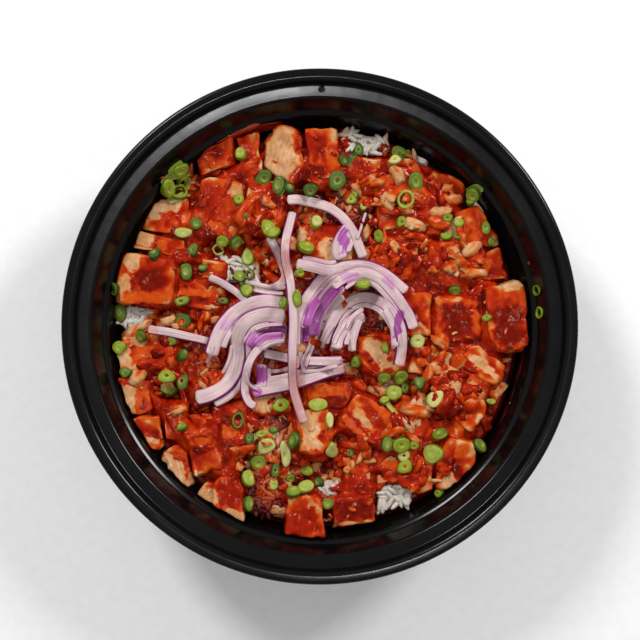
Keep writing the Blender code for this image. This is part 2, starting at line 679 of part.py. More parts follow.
def place_grains(cells, field, parts, rng):
    """Lays long grains on the rice mounds where they stay inside the mound's fences."""
    for name, spec in RICE.items():
        cell = cells[name]
        fences = np.array(cell.fences)
        laid = []
        for _ in range(400):
            if len(laid) == spec[6]:
                break
            across = rng.uniform(-0.5, 0.5) * cell.width
            along = rng.uniform(-0.5, 0.5) * cell.depth
            spot = cell.middle + cell.across * across + cell.along * along
            top, _ = heights_over(cell.planes(), np.array([spot[0]]), np.array([spot[1]]))
            if not np.isfinite(top[0]) or any(np.linalg.norm(spot - other) < 3.0 for other in laid):
                continue
            centre = np.array([spot[0], spot[1], top[0] + 0.35])
            vertices, faces = grain_points(centre, rng.uniform(0, math.pi), rng.uniform(-0.25, 0.25))
            if not (np.array(vertices) @ fences[:, :3].T <= fences[:, 3]).all():
                continue
            laid.append(spot)
            parts[name].append(("mesh", (vertices, faces)))
            window = field.near(spot, 3.6)
            field.z[window] = np.maximum(field.z[window], top[0] + 1.7)


def make_food_blocks(cells, parts, materials):
    """The chicken nodes with their scallions and scraps, and the rice bed with its mounds and grains."""
    bed = make_bed_core(materials)
    bed_group = new_group("rice_bed")
    for name, cell in cells.items():
        points = points_of(cell.planes())
        if name in CHICKEN:
            host = convex_object(name, points, materials["chicken"])
            group = new_group(name)
        else:
            convex_object(name, points, materials["rice"], bed_group)
            host = None
            group = bed_group
        for kind, data in parts[name]:
            if kind == "hull":
                convex_object(name + "_piece", data, materials["rice"], group)
            else:
                piece = add_object(name + "_piece", data[0], data[1], materials["rice"], group)
                face_outwards(piece)
        if host:
            join_to(host, group)
    join_to(bed, bed_group)


def smooth_path(points):
    """Plan points of a strip joined by a smooth curve, about a millimetre apart."""
    knots = np.array([plan_point(x, y) for x, y in points])
    knots = np.vstack([2 * knots[0] - knots[1], knots, 2 * knots[-1] - knots[-2]])
    curve = []
    for k in range(1, len(knots) - 2):
        p0, p1, p2, p3 = knots[k - 1:k + 3]
        steps = max(2, int(round(np.linalg.norm(p2 - p1))))
        for t in np.arange(steps) / steps:
            bend = 2 * p0 - 5 * p1 + 4 * p2 - p3
            curve.append(0.5 * (2 * p1 + (p2 - p0) * t + bend * t * t + (3 * p1 - p0 - 3 * p2 + p3) * t ** 3))
    curve.append(knots[-2])
    return np.array(curve)


def drape(curve, width, field):
    """Heights of a strip's middle line that clear what lies below, with the sag of a stiff strip."""
    needed = np.array([field.highest(point, width / 2 + 0.45) for point in curve])
    needed = needed + GAP + ONION_THICKNESS / 2
    spread = 3
    padded = np.pad(needed, spread, mode="edge")
    level = np.max([padded[k:k + len(needed)] for k in range(2 * spread + 1)], axis=0)
    height = level.copy()
    for _ in range(STRIP_STIFFNESS):
        padded = np.pad(height, 1, mode="edge")
        height = np.maximum(level, (padded[:-2] + padded[2:]) / 2)
    return height


def strip_points(curve, heights, width):
    """Points and faces of a strip with four sides swept along its middle line, every fourth point."""
    picks = list(range(0, len(curve) - 1, 4))
    if len(curve) - 1 - picks[-1] < 2:
        picks.pop()
    picks.append(len(curve) - 1)
    vertices = []
    for k in picks:
        ahead = curve[min(k + 2, len(curve) - 1)] - curve[max(k - 2, 0)]
        ahead = ahead / np.linalg.norm(ahead)
        side = np.array([-ahead[1], ahead[0]]) * width / 2
        for wide, rise in ((-1, -1), (1, -1), (1, 1), (-1, 1)):
            flat = curve[k] + side * wide
            vertices.append((flat[0], flat[1], heights[k] + rise * ONION_THICKNESS / 2))
    faces = [(3, 2, 1, 0)]
    for k in range(len(picks) - 1):
        a, b = 4 * k, 4 * k + 4
        for j in range(4):
            n = (j + 1) % 4
            faces.append((a + j, a + n, b + n, b + j))
    end = 4 * (len(picks) - 1)
    faces.append((end, end + 1, end + 2, end + 3))
    return vertices, faces


def lay_in_field(curve, heights, width, field):
    """Adds a strip's upper face to the height field."""
    for point, height in zip(curve, heights):
        window = field.near(point, width / 2 + 0.3)
        close = np.hypot(field.x[window] - point[0], field.y[window] - point[1]) <= width / 2 + 0.3
        raised = np.maximum(field.z[window], height + ONION_THICKNESS / 2)
        field.z[window] = np.where(close, raised, field.z[window])


def make_onions(field, materials):
    """The onion strips, each laid over what is already there."""
    for name, strips in ONIONS.items():
        group = new_group(name)
        host = None
        laid = []
        for width, points in strips:
            curve = smooth_path(points)
            heights = drape(curve, width, field)
            if laid:
                close = [np.linalg.norm(laid[0][0] - point, axis=1) for point in curve]
                touching = [int(row.argmin()) for row in close if row.min() < laid[0][2] / 2]
                if touching:
                    heights = np.maximum(heights, max(laid[0][1][k] for k in touching) - ONION_THICKNESS / 2)
            vertices, faces = strip_points(curve, heights, width)
            if host is None:
                host = add_object(name, vertices, faces, materials["onion"])
                face_outwards(host)
            else:
                piece = add_object(name + "_branch", vertices, faces, materials["onion"], group)
                face_outwards(piece)
            laid.append((curve, heights, width))
        join_to(host, group)
        for curve, heights, width in laid:
            lay_in_field(curve, heights, width, field)


def main():
    """Builds the bowl, the rice bed, the chicken pieces and the onion strips."""
    clear_file()
    rng = random.Random(SEED)
    materials = {
        "bowl": add_material("black_plastic", (0.006, 0.006, 0.007), 0.22),
        "rice": add_material("cooked_rice", (0.72, 0.68, 0.6), 0.55),
        "chicken": add_material("sauced_chicken", (0.4, 0.05, 0.015), 0.3),
        "onion": add_material("red_onion", (0.62, 0.4, 0.46), 0.35),
    }
    make_bowl(materials)
    cells = make_cells(rng)
    parts = {name: [] for name in cells}
    field = HeightField()
    for name, cell in cells.items():
        field.add_planes(cell.planes(), cell.middle, max(cell.width, cell.depth) * 0.75 + 1.0)
    for spec in SCRAPS:
        host = cells[spec[6]]
        scrap = scrap_planes(spec, host, rng)
        parts[host.name].append(("hull", points_of(scrap.planes())))
        field.add_planes(scrap.planes(), scrap.middle, 14.0)
    place_scallions(cells, field, parts)
    place_grains(cells, field, parts, rng)
    make_food_blocks(cells, parts, materials)
    make_onions(field, materials)


main()
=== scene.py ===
"""A black takeout bowl of rice with sauced chicken, red onion and scallions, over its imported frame.

Sizes are in millimetres with +Z up, and are turned to metres when a mesh is made. Places in the plan are
counted in steps of PLAN_STEP: x to the right, y towards the front. A call of noise ends with its seed.
"""

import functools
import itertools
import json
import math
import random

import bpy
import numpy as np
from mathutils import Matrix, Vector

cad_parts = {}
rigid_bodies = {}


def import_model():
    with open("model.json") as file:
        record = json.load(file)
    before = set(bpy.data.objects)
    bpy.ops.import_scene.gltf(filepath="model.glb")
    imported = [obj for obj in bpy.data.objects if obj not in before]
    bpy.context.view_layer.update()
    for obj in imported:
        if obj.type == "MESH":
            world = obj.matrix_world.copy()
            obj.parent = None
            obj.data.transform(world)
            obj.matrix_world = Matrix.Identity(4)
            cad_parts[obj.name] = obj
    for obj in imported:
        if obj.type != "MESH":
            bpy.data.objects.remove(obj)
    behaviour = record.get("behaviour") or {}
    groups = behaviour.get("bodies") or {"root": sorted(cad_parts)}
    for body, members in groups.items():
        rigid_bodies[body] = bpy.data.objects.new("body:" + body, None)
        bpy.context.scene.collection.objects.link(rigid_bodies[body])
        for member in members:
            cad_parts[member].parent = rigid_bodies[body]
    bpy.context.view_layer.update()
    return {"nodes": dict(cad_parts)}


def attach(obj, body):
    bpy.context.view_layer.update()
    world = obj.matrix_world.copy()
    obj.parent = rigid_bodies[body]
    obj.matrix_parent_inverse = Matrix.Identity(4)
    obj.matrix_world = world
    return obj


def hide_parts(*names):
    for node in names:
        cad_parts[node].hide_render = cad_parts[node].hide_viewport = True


bl_info = {
    "name": "Rice Bowl",
    "version": (1, 0, 0),
    "blender": (4, 5, 0),
    "location": "View3D > Sidebar > Rice Bowl",
    "description": "Makes a black takeout bowl of rice with sauced chicken, red onion and scallions",
    "category": "Add Mesh",
}

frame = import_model()


METRE = 0.001

# The plan grid and the levels of the food
PLAN_STEP = 0.369
PLAN_CENTRE = (320.0, 326.0)
BED_TOP = 27.0
FLOOR_HEIGHT = 1.2
SEED = 35

# The bowl's wall beside the food and above its step: radius at a level, and how much it widens per millimetre
WALL_LEVEL = 26.0
WALL_RADIUS = 75.3
WALL_SLOPE = 0.23
UPPER_LEVEL = 37.3
UPPER_RADIUS = 78.4
UPPER_SLOPE = 0.39

# The small raised dot on the ledge
DOT_PLACE = (0.7, 85.6, 46.0)
DOT_HALVES = (1.3, 1.3, 0.5)

# How blocks are cut: the gap between them, how far they spread to fill the space up to a fence, how much
# their sides lean, and how freely each kind is cut
GAP = 0.3
SPREAD = 2.2
LEAN = 0.16
FENCE_RANGE = 16.0
EDGE_START = 62.0
CHICKEN_CUT = 1.0
SCRAP_CUT = 0.8
MOUND_CUT = 0.4
MOUND_DEPTH = 2.7
SCRAP_DEPTH = 1.0

# Radius and height of the bowl's inner face, from the rim to the floor
INNER_PROFILE = [
    (91.6, 50.0), (89.2, 50.0), (88.2, 49.4), (87.2, 46.2), (83.0, 45.5), (82.3, 44.9), (79.7, 38.3),
    (78.4, 37.6), (77.9, 37.0), (75.3, 26.0), (73.0, 16.0), (70.2, 8.0), (66.0, 3.4), (60.0, 1.2),
]

# Radius and height of the bowl's outer face, from the base to the rim
OUTER_PROFILE = [
    (58.0, 0.0), (61.0, 0.2), (67.2, 2.6), (71.4, 7.5), (74.2, 15.8), (79.1, 36.6), (80.9, 37.6),
    (83.4, 44.3), (87.6, 44.7), (88.6, 48.2), (91.2, 48.7), (91.5, 45.4), (92.5, 45.4), (92.5, 49.3),
]

# Chicken pieces in the order of their numbers: plan x, plan y, width, depth, turn in degrees and top
CHICKEN_BLOCKS = [
    (170, 216, 17.5, 14.0, 0, 34.0), (213, 155, 20.0, 18.5, 20, 36.0), (216, 205, 19.0, 22.0, -8, 36.0),
    (250, 150, 15.0, 18.5, 5, 35.0), (262, 205, 13.5, 18.5, -5, 34.5), (284, 153, 15.5, 18.5, -30, 36.5),
    (318, 155, 17.0, 21.5, 6, 36.5), (368, 170, 15.0, 12.5, 0, 33.5), (400, 172, 13.5, 12.5, 10, 34.0),
    (393, 205, 12.5, 15.0, 0, 34.0), (447, 190, 15.0, 11.0, -20, 33.0), (432, 214, 15.0, 11.5, 25, 34.0),
    (475, 233, 12.5, 18.5, 18, 34.5), (332, 245, 15.0, 14.0, 0, 33.0), (392, 262, 16.0, 14.0, -10, 34.0),
    (447, 260, 15.5, 12.0, 0, 34.5), (489, 264, 12.5, 14.0, 12, 33.5), (508, 315, 15.0, 25.0, 4, 37.5),
    (457, 320, 16.5, 17.0, 4, 36.0), (418, 315, 13.5, 15.5, 0, 34.0), (430, 362, 15.0, 11.5, -15, 34.5),
    (483, 364, 18.5, 8.5, -37, 35.0), (376, 354, 19.0, 9.5, -48, 34.0), (456, 402, 23.0, 12.5, -42, 36.5),
    (410, 418, 11.0, 13.5, 0, 35.0), (370, 420, 22.5, 15.5, -30, 37.0), (330, 393, 15.5, 10.0, 5, 34.5),
    (314, 432, 10.5, 17.0, 0, 36.0), (455, 461, 11.0, 19.5, -15, 36.0), (392, 468, 15.0, 12.5, 0, 34.5),
    (421, 476, 9.5, 11.5, 0, 34.0), (362, 476, 11.5, 16.0, 0, 34.0), (357, 508, 18.5, 11.5, 6, 36.5),
    (304, 523, 18.5, 18.5, 8, 39.0), (232, 501, 10.5, 18.5, 4, 37.0), (207, 451, 17.5, 17.0, 10, 38.0),
    (228, 430, 12.5, 16.5, 0, 35.0), (178, 426, 11.5, 14.0, 0, 35.0), (150, 429, 12.5, 14.0, 10, 35.0),
    (130, 398, 14.0, 14.0, 0, 35.5), (174, 467, 13.0, 15.0, 40, 36.0), (147, 355, 24.0, 12.0, 8, 36.0),
    (147, 278, 22.5, 18.0, 6, 37.0), (160, 245, 18.0, 11.0, -12, 34.5), (193, 294, 17.5, 9.0, -5, 34.0),
]
CHICKEN = {f"chicken_{number:02d}": block for number, block in enumerate(CHICKEN_BLOCKS, 1)}

# Small scraps of chicken: plan x, plan y, width, depth, turn, top, and the piece that each one is joined to
SCRAPS = [
    (303, 226, 9.0, 13.0, 0, 33.0, "chicken_14"),
    (424, 252, 12.0, 7.0, 0, 33.5, "chicken_15"),
    (447, 371, 10.0, 9.0, 0, 33.5, "chicken_21"),
    (438, 415, 9.0, 6.0, -35, 34.0, "chicken_24"),
    (336, 472, 13.0, 7.0, 0, 33.0, "chicken_32"),
    (196, 478, 10.0, 8.0, 0, 33.5, "chicken_36"),
    (208, 499, 13.0, 11.0, 0, 35.0, "chicken_35"),
    (248, 455, 9.5, 10.0, 0, 33.5, "chicken_37"),
    (202, 268, 16.0, 5.0, -8, 34.0, "rice_inner_left"),
    (199, 312, 6.5, 7.5, 0, 33.0, "chicken_45"),
    (137, 338, 11.0, 8.0, 0, 33.0, "chicken_42"),
    (160, 330, 8.0, 8.0, 0, 32.5, "chicken_42"),
    (272, 402, 16.0, 8.0, 0, 32.0, "rice_lower"),
    (224, 314, 9.5, 9.0, 0, 32.0, "rice_middle"),
    (202, 350, 9.0, 8.0, 0, 31.5, "rice_left"),
    (203, 382, 8.0, 7.0, 0, 31.5, "rice_left"),
]

# Rice that shows between the pieces: plan x, plan y, width, depth, turn, top, and how clean the rice is
RICE = {
    "rice_top": (366, 142, 18.0, 8.5, -8, 30.5, 1.0),
    "rice_upper_left": (190, 176, 6.0, 5.0, 0, 30.0, 0.3),
    "rice_upper_right": (418, 158, 9.0, 5.0, -20, 29.5, 0.7),
    "rice_right": (478, 205, 8.0, 5.0, -50, 29.0, 0.9),
    "rice_right_low": (470, 288, 9.0, 6.0, 0, 29.0, 0.2),
    "rice_far_left": (130, 314, 12.0, 8.0, 0, 30.0, 1.0),
    "rice_inner_left": (236, 270, 15.0, 9.0, 0, 30.5, 0.8),
    "rice_left": (198, 362, 14.0, 18.0, 0, 29.5, 0.35),
    "rice_front": (394, 493, 18.0, 10.0, 10, 31.0, 0.9),
    "rice_front_middle": (331, 492, 8.0, 8.0, 0, 29.5, 0.7),
    "rice_front_left": (268, 490, 14.0, 18.0, 0, 31.0, 0.2),
    "rice_lower": (268, 440, 16.0, 16.0, 0, 31.0, 0.35),
    "rice_inner_right": (394, 388, 11.0, 9.0, 0, 30.0, 0.5),
    "rice_upper": (352, 205, 15.0, 11.0, 0, 30.0, 0.15),
    "rice_middle": (296, 330, 46.0, 45.0, 0, 28.3, 0.35),
    "rice_middle_right": (370, 308, 20.0, 20.0, 0, 28.3, 0.15),
}

# Where clean rice shows and no crumbs lie: plan x, plan y, reach
CLEAN_RICE = [
    (366, 141, 6.0), (130, 312, 5.5), (394, 494, 6.0), (331, 492, 3.0), (479, 204, 3.0), (234, 268, 2.5),
]

# How much sauce lies on a place, from bare meat to a thick dark layer
BARE = 0.04
STREAKED = 0.2
THIN = 0.4
RED = 0.7
THICK = 0.85

# Where the sauce is thinner or thicker than elsewhere: amount, plan x, plan y, width, depth, turn
SAUCE_PATCHES = [
    (BARE, 168, 203, 15.0, 5.5, 0), (BARE, 150, 214, 5.0, 6.0, 0), (THIN, 220, 180, 5.0, 3.5, 0),
    (STREAKED, 240, 190, 7.5, 6.0, -30), (BARE, 144, 239, 8.0, 5.0, -20), (THIN, 162, 244, 5.0, 4.5, 0),
    (BARE, 132, 260, 5.5, 9.0, 0), (BARE, 193, 266, 12.0, 2.6, -6), (THIN, 216, 267, 6.0, 3.0, 0),
    (STREAKED, 281, 136, 14.0, 8.0, -8), (BARE, 279, 160, 14.0, 16.0, -30),
    (THICK, 318, 172, 9.0, 5.0, 0), (THIN, 334, 158, 4.5, 9.0, 15), (RED, 305, 142, 6.0, 8.0, 0),
    (STREAKED, 370, 153, 5.0, 3.5, 0), (STREAKED, 431, 222, 8.5, 2.4, 35),
    (THIN, 475, 240, 3.5, 10.0, 20), (BARE, 336, 250, 14.0, 10.0, 0), (RED, 330, 226, 7.0, 4.5, 0),
    (BARE, 300, 234, 5.0, 5.5, 0), (THIN, 302, 219, 5.0, 3.5, 0), (THIN, 386, 250, 6.0, 4.0, 0),
    (STREAKED, 427, 250, 9.0, 3.0, 0), (BARE, 450, 252, 9.0, 4.0, 0), (THICK, 506, 328, 12.5, 17.0, 4),
    (BARE, 512, 283, 11.5, 4.5, 10), (THIN, 524, 297, 3.5, 7.0, 0), (THIN, 472, 305, 6.5, 5.0, -20),
    (THIN, 478, 324, 2.8, 12.0, 4), (STREAKED, 463, 341, 13.5, 2.2, -6), (THICK, 455, 321, 13.0, 13.5, 0),
    (STREAKED, 425, 331, 7.5, 2.0, -38), (STREAKED, 432, 351, 8.0, 2.4, -20),
    (BARE, 454, 367, 5.5, 8.5, 15), (BARE, 484, 365, 14.0, 4.2, -37), (BARE, 376, 352, 17.0, 7.5, -52),
    (RED, 369, 361, 9.0, 2.5, -52), (STREAKED, 450, 400, 18.0, 2.0, -38), (BARE, 480, 420, 3.8, 4.4, 0),
    (BARE, 438, 413, 7.0, 4.0, -38), (THICK, 448, 388, 7.0, 4.0, -40), (THIN, 407, 416, 5.5, 9.0, -20),
    (STREAKED, 361, 417, 14.5, 3.6, -52), (THIN, 382, 410, 11.0, 3.6, -50),
    (RED, 372, 412, 12.0, 3.0, -52), (THIN, 350, 425, 10.0, 2.4, -55), (THIN, 331, 391, 13.0, 5.0, 0),
    (THICK, 334, 402, 9.0, 4.0, 0), (BARE, 312, 428, 8.0, 14.5, 6), (BARE, 316, 445, 8.0, 5.0, 0),
    (THIN, 462, 450, 4.5, 6.0, -30), (BARE, 448, 480, 5.0, 6.5, 0), (THIN, 392, 463, 7.0, 5.0, 0),
    (STREAKED, 380, 484, 12.0, 3.6, -50), (THICK, 355, 508, 16.0, 9.0, 6),
    (STREAKED, 352, 524, 11.0, 1.6, 0), (BARE, 370, 523, 4.0, 3.0, 0), (THIN, 336, 467, 8.0, 2.4, -20),
    (STREAKED, 316, 507, 4.5, 8.5, 38), (RED, 302, 521, 14.0, 11.0, 8), (BARE, 332, 531, 2.6, 3.2, 0),
    (BARE, 207, 501, 9.0, 9.0, 0), (RED, 232, 493, 10.5, 14.0, 4), (BARE, 236, 519, 9.5, 5.5, 0),
    (THIN, 150, 416, 12.0, 2.8, -6), (STREAKED, 152, 441, 9.0, 2.6, -8), (BARE, 126, 397, 8.5, 12.0, 0),
    (THIN, 140, 398, 3.6, 9.0, 0), (BARE, 171, 471, 9.5, 15.0, 40), (STREAKED, 196, 480, 8.0, 6.0, 0),
    (STREAKED, 252, 457, 6.0, 8.0, 0), (BARE, 119, 358, 9.0, 7.0, 10), (THIN, 143, 355, 9.0, 8.0, 0),
    (STREAKED, 124, 283, 5.5, 8.5, 0), (THIN, 148, 298, 18.0, 4.0, 5), (THICK, 152, 280, 13.0, 9.0, 0),
    (STREAKED, 141, 239, 5.0, 4.0, 0), (THIN, 193, 292, 15.0, 3.0, -5), (BARE, 272, 402, 14.0, 7.0, 0),
    (BARE, 358, 379, 4.5, 4.5, 0), (THIN, 228, 430, 9.0, 6.0, 0), (THIN, 206, 440, 10.0, 4.0, 10),
    (THIN, 216, 226, 7.0, 5.0, 0), (THIN, 272, 215, 4.0, 9.0, 0), (STREAKED, 137, 338, 7.0, 5.0, 0),
    (THIN, 447, 190, 8.0, 3.0, -20), (THIN, 489, 262, 5.0, 4.0, 0),
]

# Where the sauce runs over the pieces and hides the seams between them: plan x, plan y, width, depth, turn
MANTLES = [
    (230, 158, 30.0, 20.0, 5), (250, 205, 26.0, 24.0, 0), (205, 215, 22.0, 24.0, 0),
    (185, 262, 14.0, 10.0, 0), (352, 180, 20.0, 9.0, 0), (400, 185, 26.0, 13.0, 10),
    (440, 205, 22.0, 14.0, 25), (475, 240, 12.0, 18.0, 20), (402, 250, 20.0, 12.0, 0),
    (455, 268, 22.0, 12.0, 0), (215, 428, 24.0, 18.0, 0), (180, 440, 16.0, 18.0, 0),
    (395, 455, 18.0, 12.0, 0), (440, 390, 20.0, 8.0, -40), (358, 488, 18.0, 10.0, 0),
    (185, 375, 14.0, 14.0, 0),
]

# Where the meat is torn to shreds: plan x, plan y, reach
SHREDDED = [
    (385, 190, 8.0), (425, 205, 11.0), (455, 255, 10.0), (405, 245, 8.0), (470, 275, 7.0),
    (430, 395, 9.0), (462, 395, 7.0), (402, 440, 9.0), (430, 470, 8.0), (350, 460, 8.0), (262, 215, 7.0),
    (185, 325, 8.0), (160, 375, 8.0), (200, 400, 8.0), (255, 470, 8.0), (440, 360, 7.0),
]

# The skin side of an onion strip that lies with its skin uppermost
FACE_UP = 2

# Onion strips, node by node from the lowest: width, skin side (left 1, right -1, none 0, face up 2), and the
# plan points that the strip runs through
ONION_STRIPS = [
    [
        (3.7, 0, [
            (287, 200), (302, 199), (318, 202), (332, 208), (344, 218), (353, 231), (359, 245),
            (364, 258)
        ]),
        (5.5, 0, [(351, 226), (343, 238), (339, 250), (342, 260)]),
    ],
    [
        (3.4, 1, [(270, 237), (277, 250), (283, 264), (285, 277), (275, 287), (260, 288), (250, 272)]),
    ],
    [
        (5.0, 1, [(346, 367), (328, 372), (308, 379), (288, 385), (268, 389), (252, 392)]),
        (4.0, 0, [(262, 364), (262, 376), (262, 388)]),
    ],
    [
        (3.6, 1, [(343, 361), (320, 362), (300, 361), (280, 357), (264, 354)]),
    ],
    [
        (3.2, -1, [(149, 330), (170, 333), (192, 338), (213, 343)]),
    ],
    [
        (5.4, -1, [(286, 303), (268, 301), (250, 304), (235, 312), (224, 324), (217, 338), (211, 356)]),
        (2.6, 0, [(209, 277), (222, 283), (236, 292), (247, 302)]),
    ],
    [
        (5.8, 1, [
            (286, 318), (268, 316), (252, 320), (242, 329), (238, 342), (238, 358), (234, 374),
            (225, 387), (211, 395), (196, 399)
        ]),
        (6.8, 2, [(287, 331), (271, 331), (258, 337), (250, 348)]),
    ],
    [
        (3.2, -1, [
            (286, 337), (274, 340), (262, 347), (252, 359), (247, 374), (245, 390), (249, 402),
            (256, 407)
        ]),
    ],
    [
        (4.0, 1, [
            (296, 347), (296, 327), (301, 309), (310, 292), (323, 277), (340, 268), (358, 265),
            (374, 268), (388, 276), (400, 286), (407, 292)
        ]),
        (4.2, 0, [(296, 264), (312, 267), (330, 271), (344, 268)]),
    ],
    [
        (6.2, 2, [(312, 336), (314, 323), (319, 310), (329, 296), (341, 284)]),
        (4.4, -1, [
            (333, 288), (347, 278), (362, 274), (378, 279), (391, 291), (401, 305), (409, 318),
            (413, 330)
        ]),
    ],
    [
        (4.3, -1, [
            (325, 344), (330, 329), (337, 315), (347, 304), (359, 298), (371, 298), (382, 304),
            (392, 315), (399, 328), (401, 342), (400, 356), (398, 367)
        ]),
        (3.0, 1, [(385, 310), (391, 322), (394, 334), (395, 348)]),
    ],
    [
        (4.6, 1, [(366, 317), (354, 320), (345, 328), (339, 339), (337, 350)]),
        (3.0, 0, [(360, 320), (356, 330), (353, 341), (352, 352)]),
    ],
    [
        (3.4, -1, [
            (293, 211), (289, 228), (286, 245), (286, 262), (290, 280), (292, 300), (294, 322),
            (293, 345), (293, 368), (294, 388), (298, 404), (304, 423)
        ]),
    ],
]
ONIONS = {f"onion_{number:02d}": strips for number, strips in enumerate(ONION_STRIPS, 1)}

# Thin slivers of inner layers among the onion strips: width, skin side, and the plan points
SLIVERS = [
    (1.6, 0, [(236, 277), (252, 283), (270, 287), (286, 288)]),
    (1.5, 1, [(246, 288), (262, 292), (284, 294)]), (1.4, 0, [(312, 338), (307, 352), (301, 366)]),
    (1.4, 1, [(318, 334), (312, 350), (306, 368)]), (1.8, 0, [(345, 330), (352, 318), (364, 308)]),
    (1.6, -1, [(331, 352), (338, 336), (346, 322)]), (1.5, 0, [(322, 350), (326, 338), (334, 324)]),
    (1.6, 0, [(262, 350), (272, 344), (286, 341)]), (1.4, 1, [(247, 372), (250, 384), (262, 392)]),
    (1.6, -1, [(232, 345), (229, 360), (222, 374)]), (1.5, 0, [(268, 372), (284, 370), (300, 366)]),
    (1.1, 0, [(367, 210), (362, 226), (357, 240)]), (1.5, 1, [(304, 372), (320, 370), (338, 366)]),
    (1.4, 0, [(318, 300), (326, 290), (338, 280)]), (1.4, 0, [(345, 290), (356, 284), (370, 284)]),
    (1.5, -1, [(255, 330), (268, 326), (284, 325)]),
    (3.4, 2, [(304, 342), (307, 322), (314, 305), (326, 290)]),
    (2.4, 2, [(256, 346), (266, 338), (284, 336)]), (1.6, 0, [(300, 352), (303, 362), (304, 374)]),
    (1.4, 0, [(214, 345), (211, 356), (206, 364)]),
]

# Where the onion's purple skin side lies uppermost: strength, plan x, plan y, width, depth, turn
PURPLE_PATCHES = [
    (0.5, 350, 279, 7.0, 4.0, 0), (0.75, 262, 375, 4.5, 9.0, 0), (0.5, 343, 361, 3.0, 3.0, 0),
    (0.7, 344, 240, 4.0, 9.0, 0), (0.8, 397, 325, 3.5, 11.0, -8), (0.5, 388, 285, 7.0, 3.0, -40),
    (0.6, 255, 392, 6.0, 3.0, 0), (0.5, 230, 322, 4.0, 8.0, -40),
]

# Where sauce tints the onion: strength, plan x, plan y, width, depth, turn
TINT_PATCHES = [
    (0.45, 287, 262, 4.5, 14.0, 0), (0.42, 297, 398, 6.5, 22.0, 0), (0.35, 345, 366, 5.0, 5.0, 0),
    (0.35, 283, 277, 5.0, 4.0, 0), (0.3, 152, 331, 5.0, 4.0, 0), (0.3, 402, 362, 4.0, 5.0, 0),
]

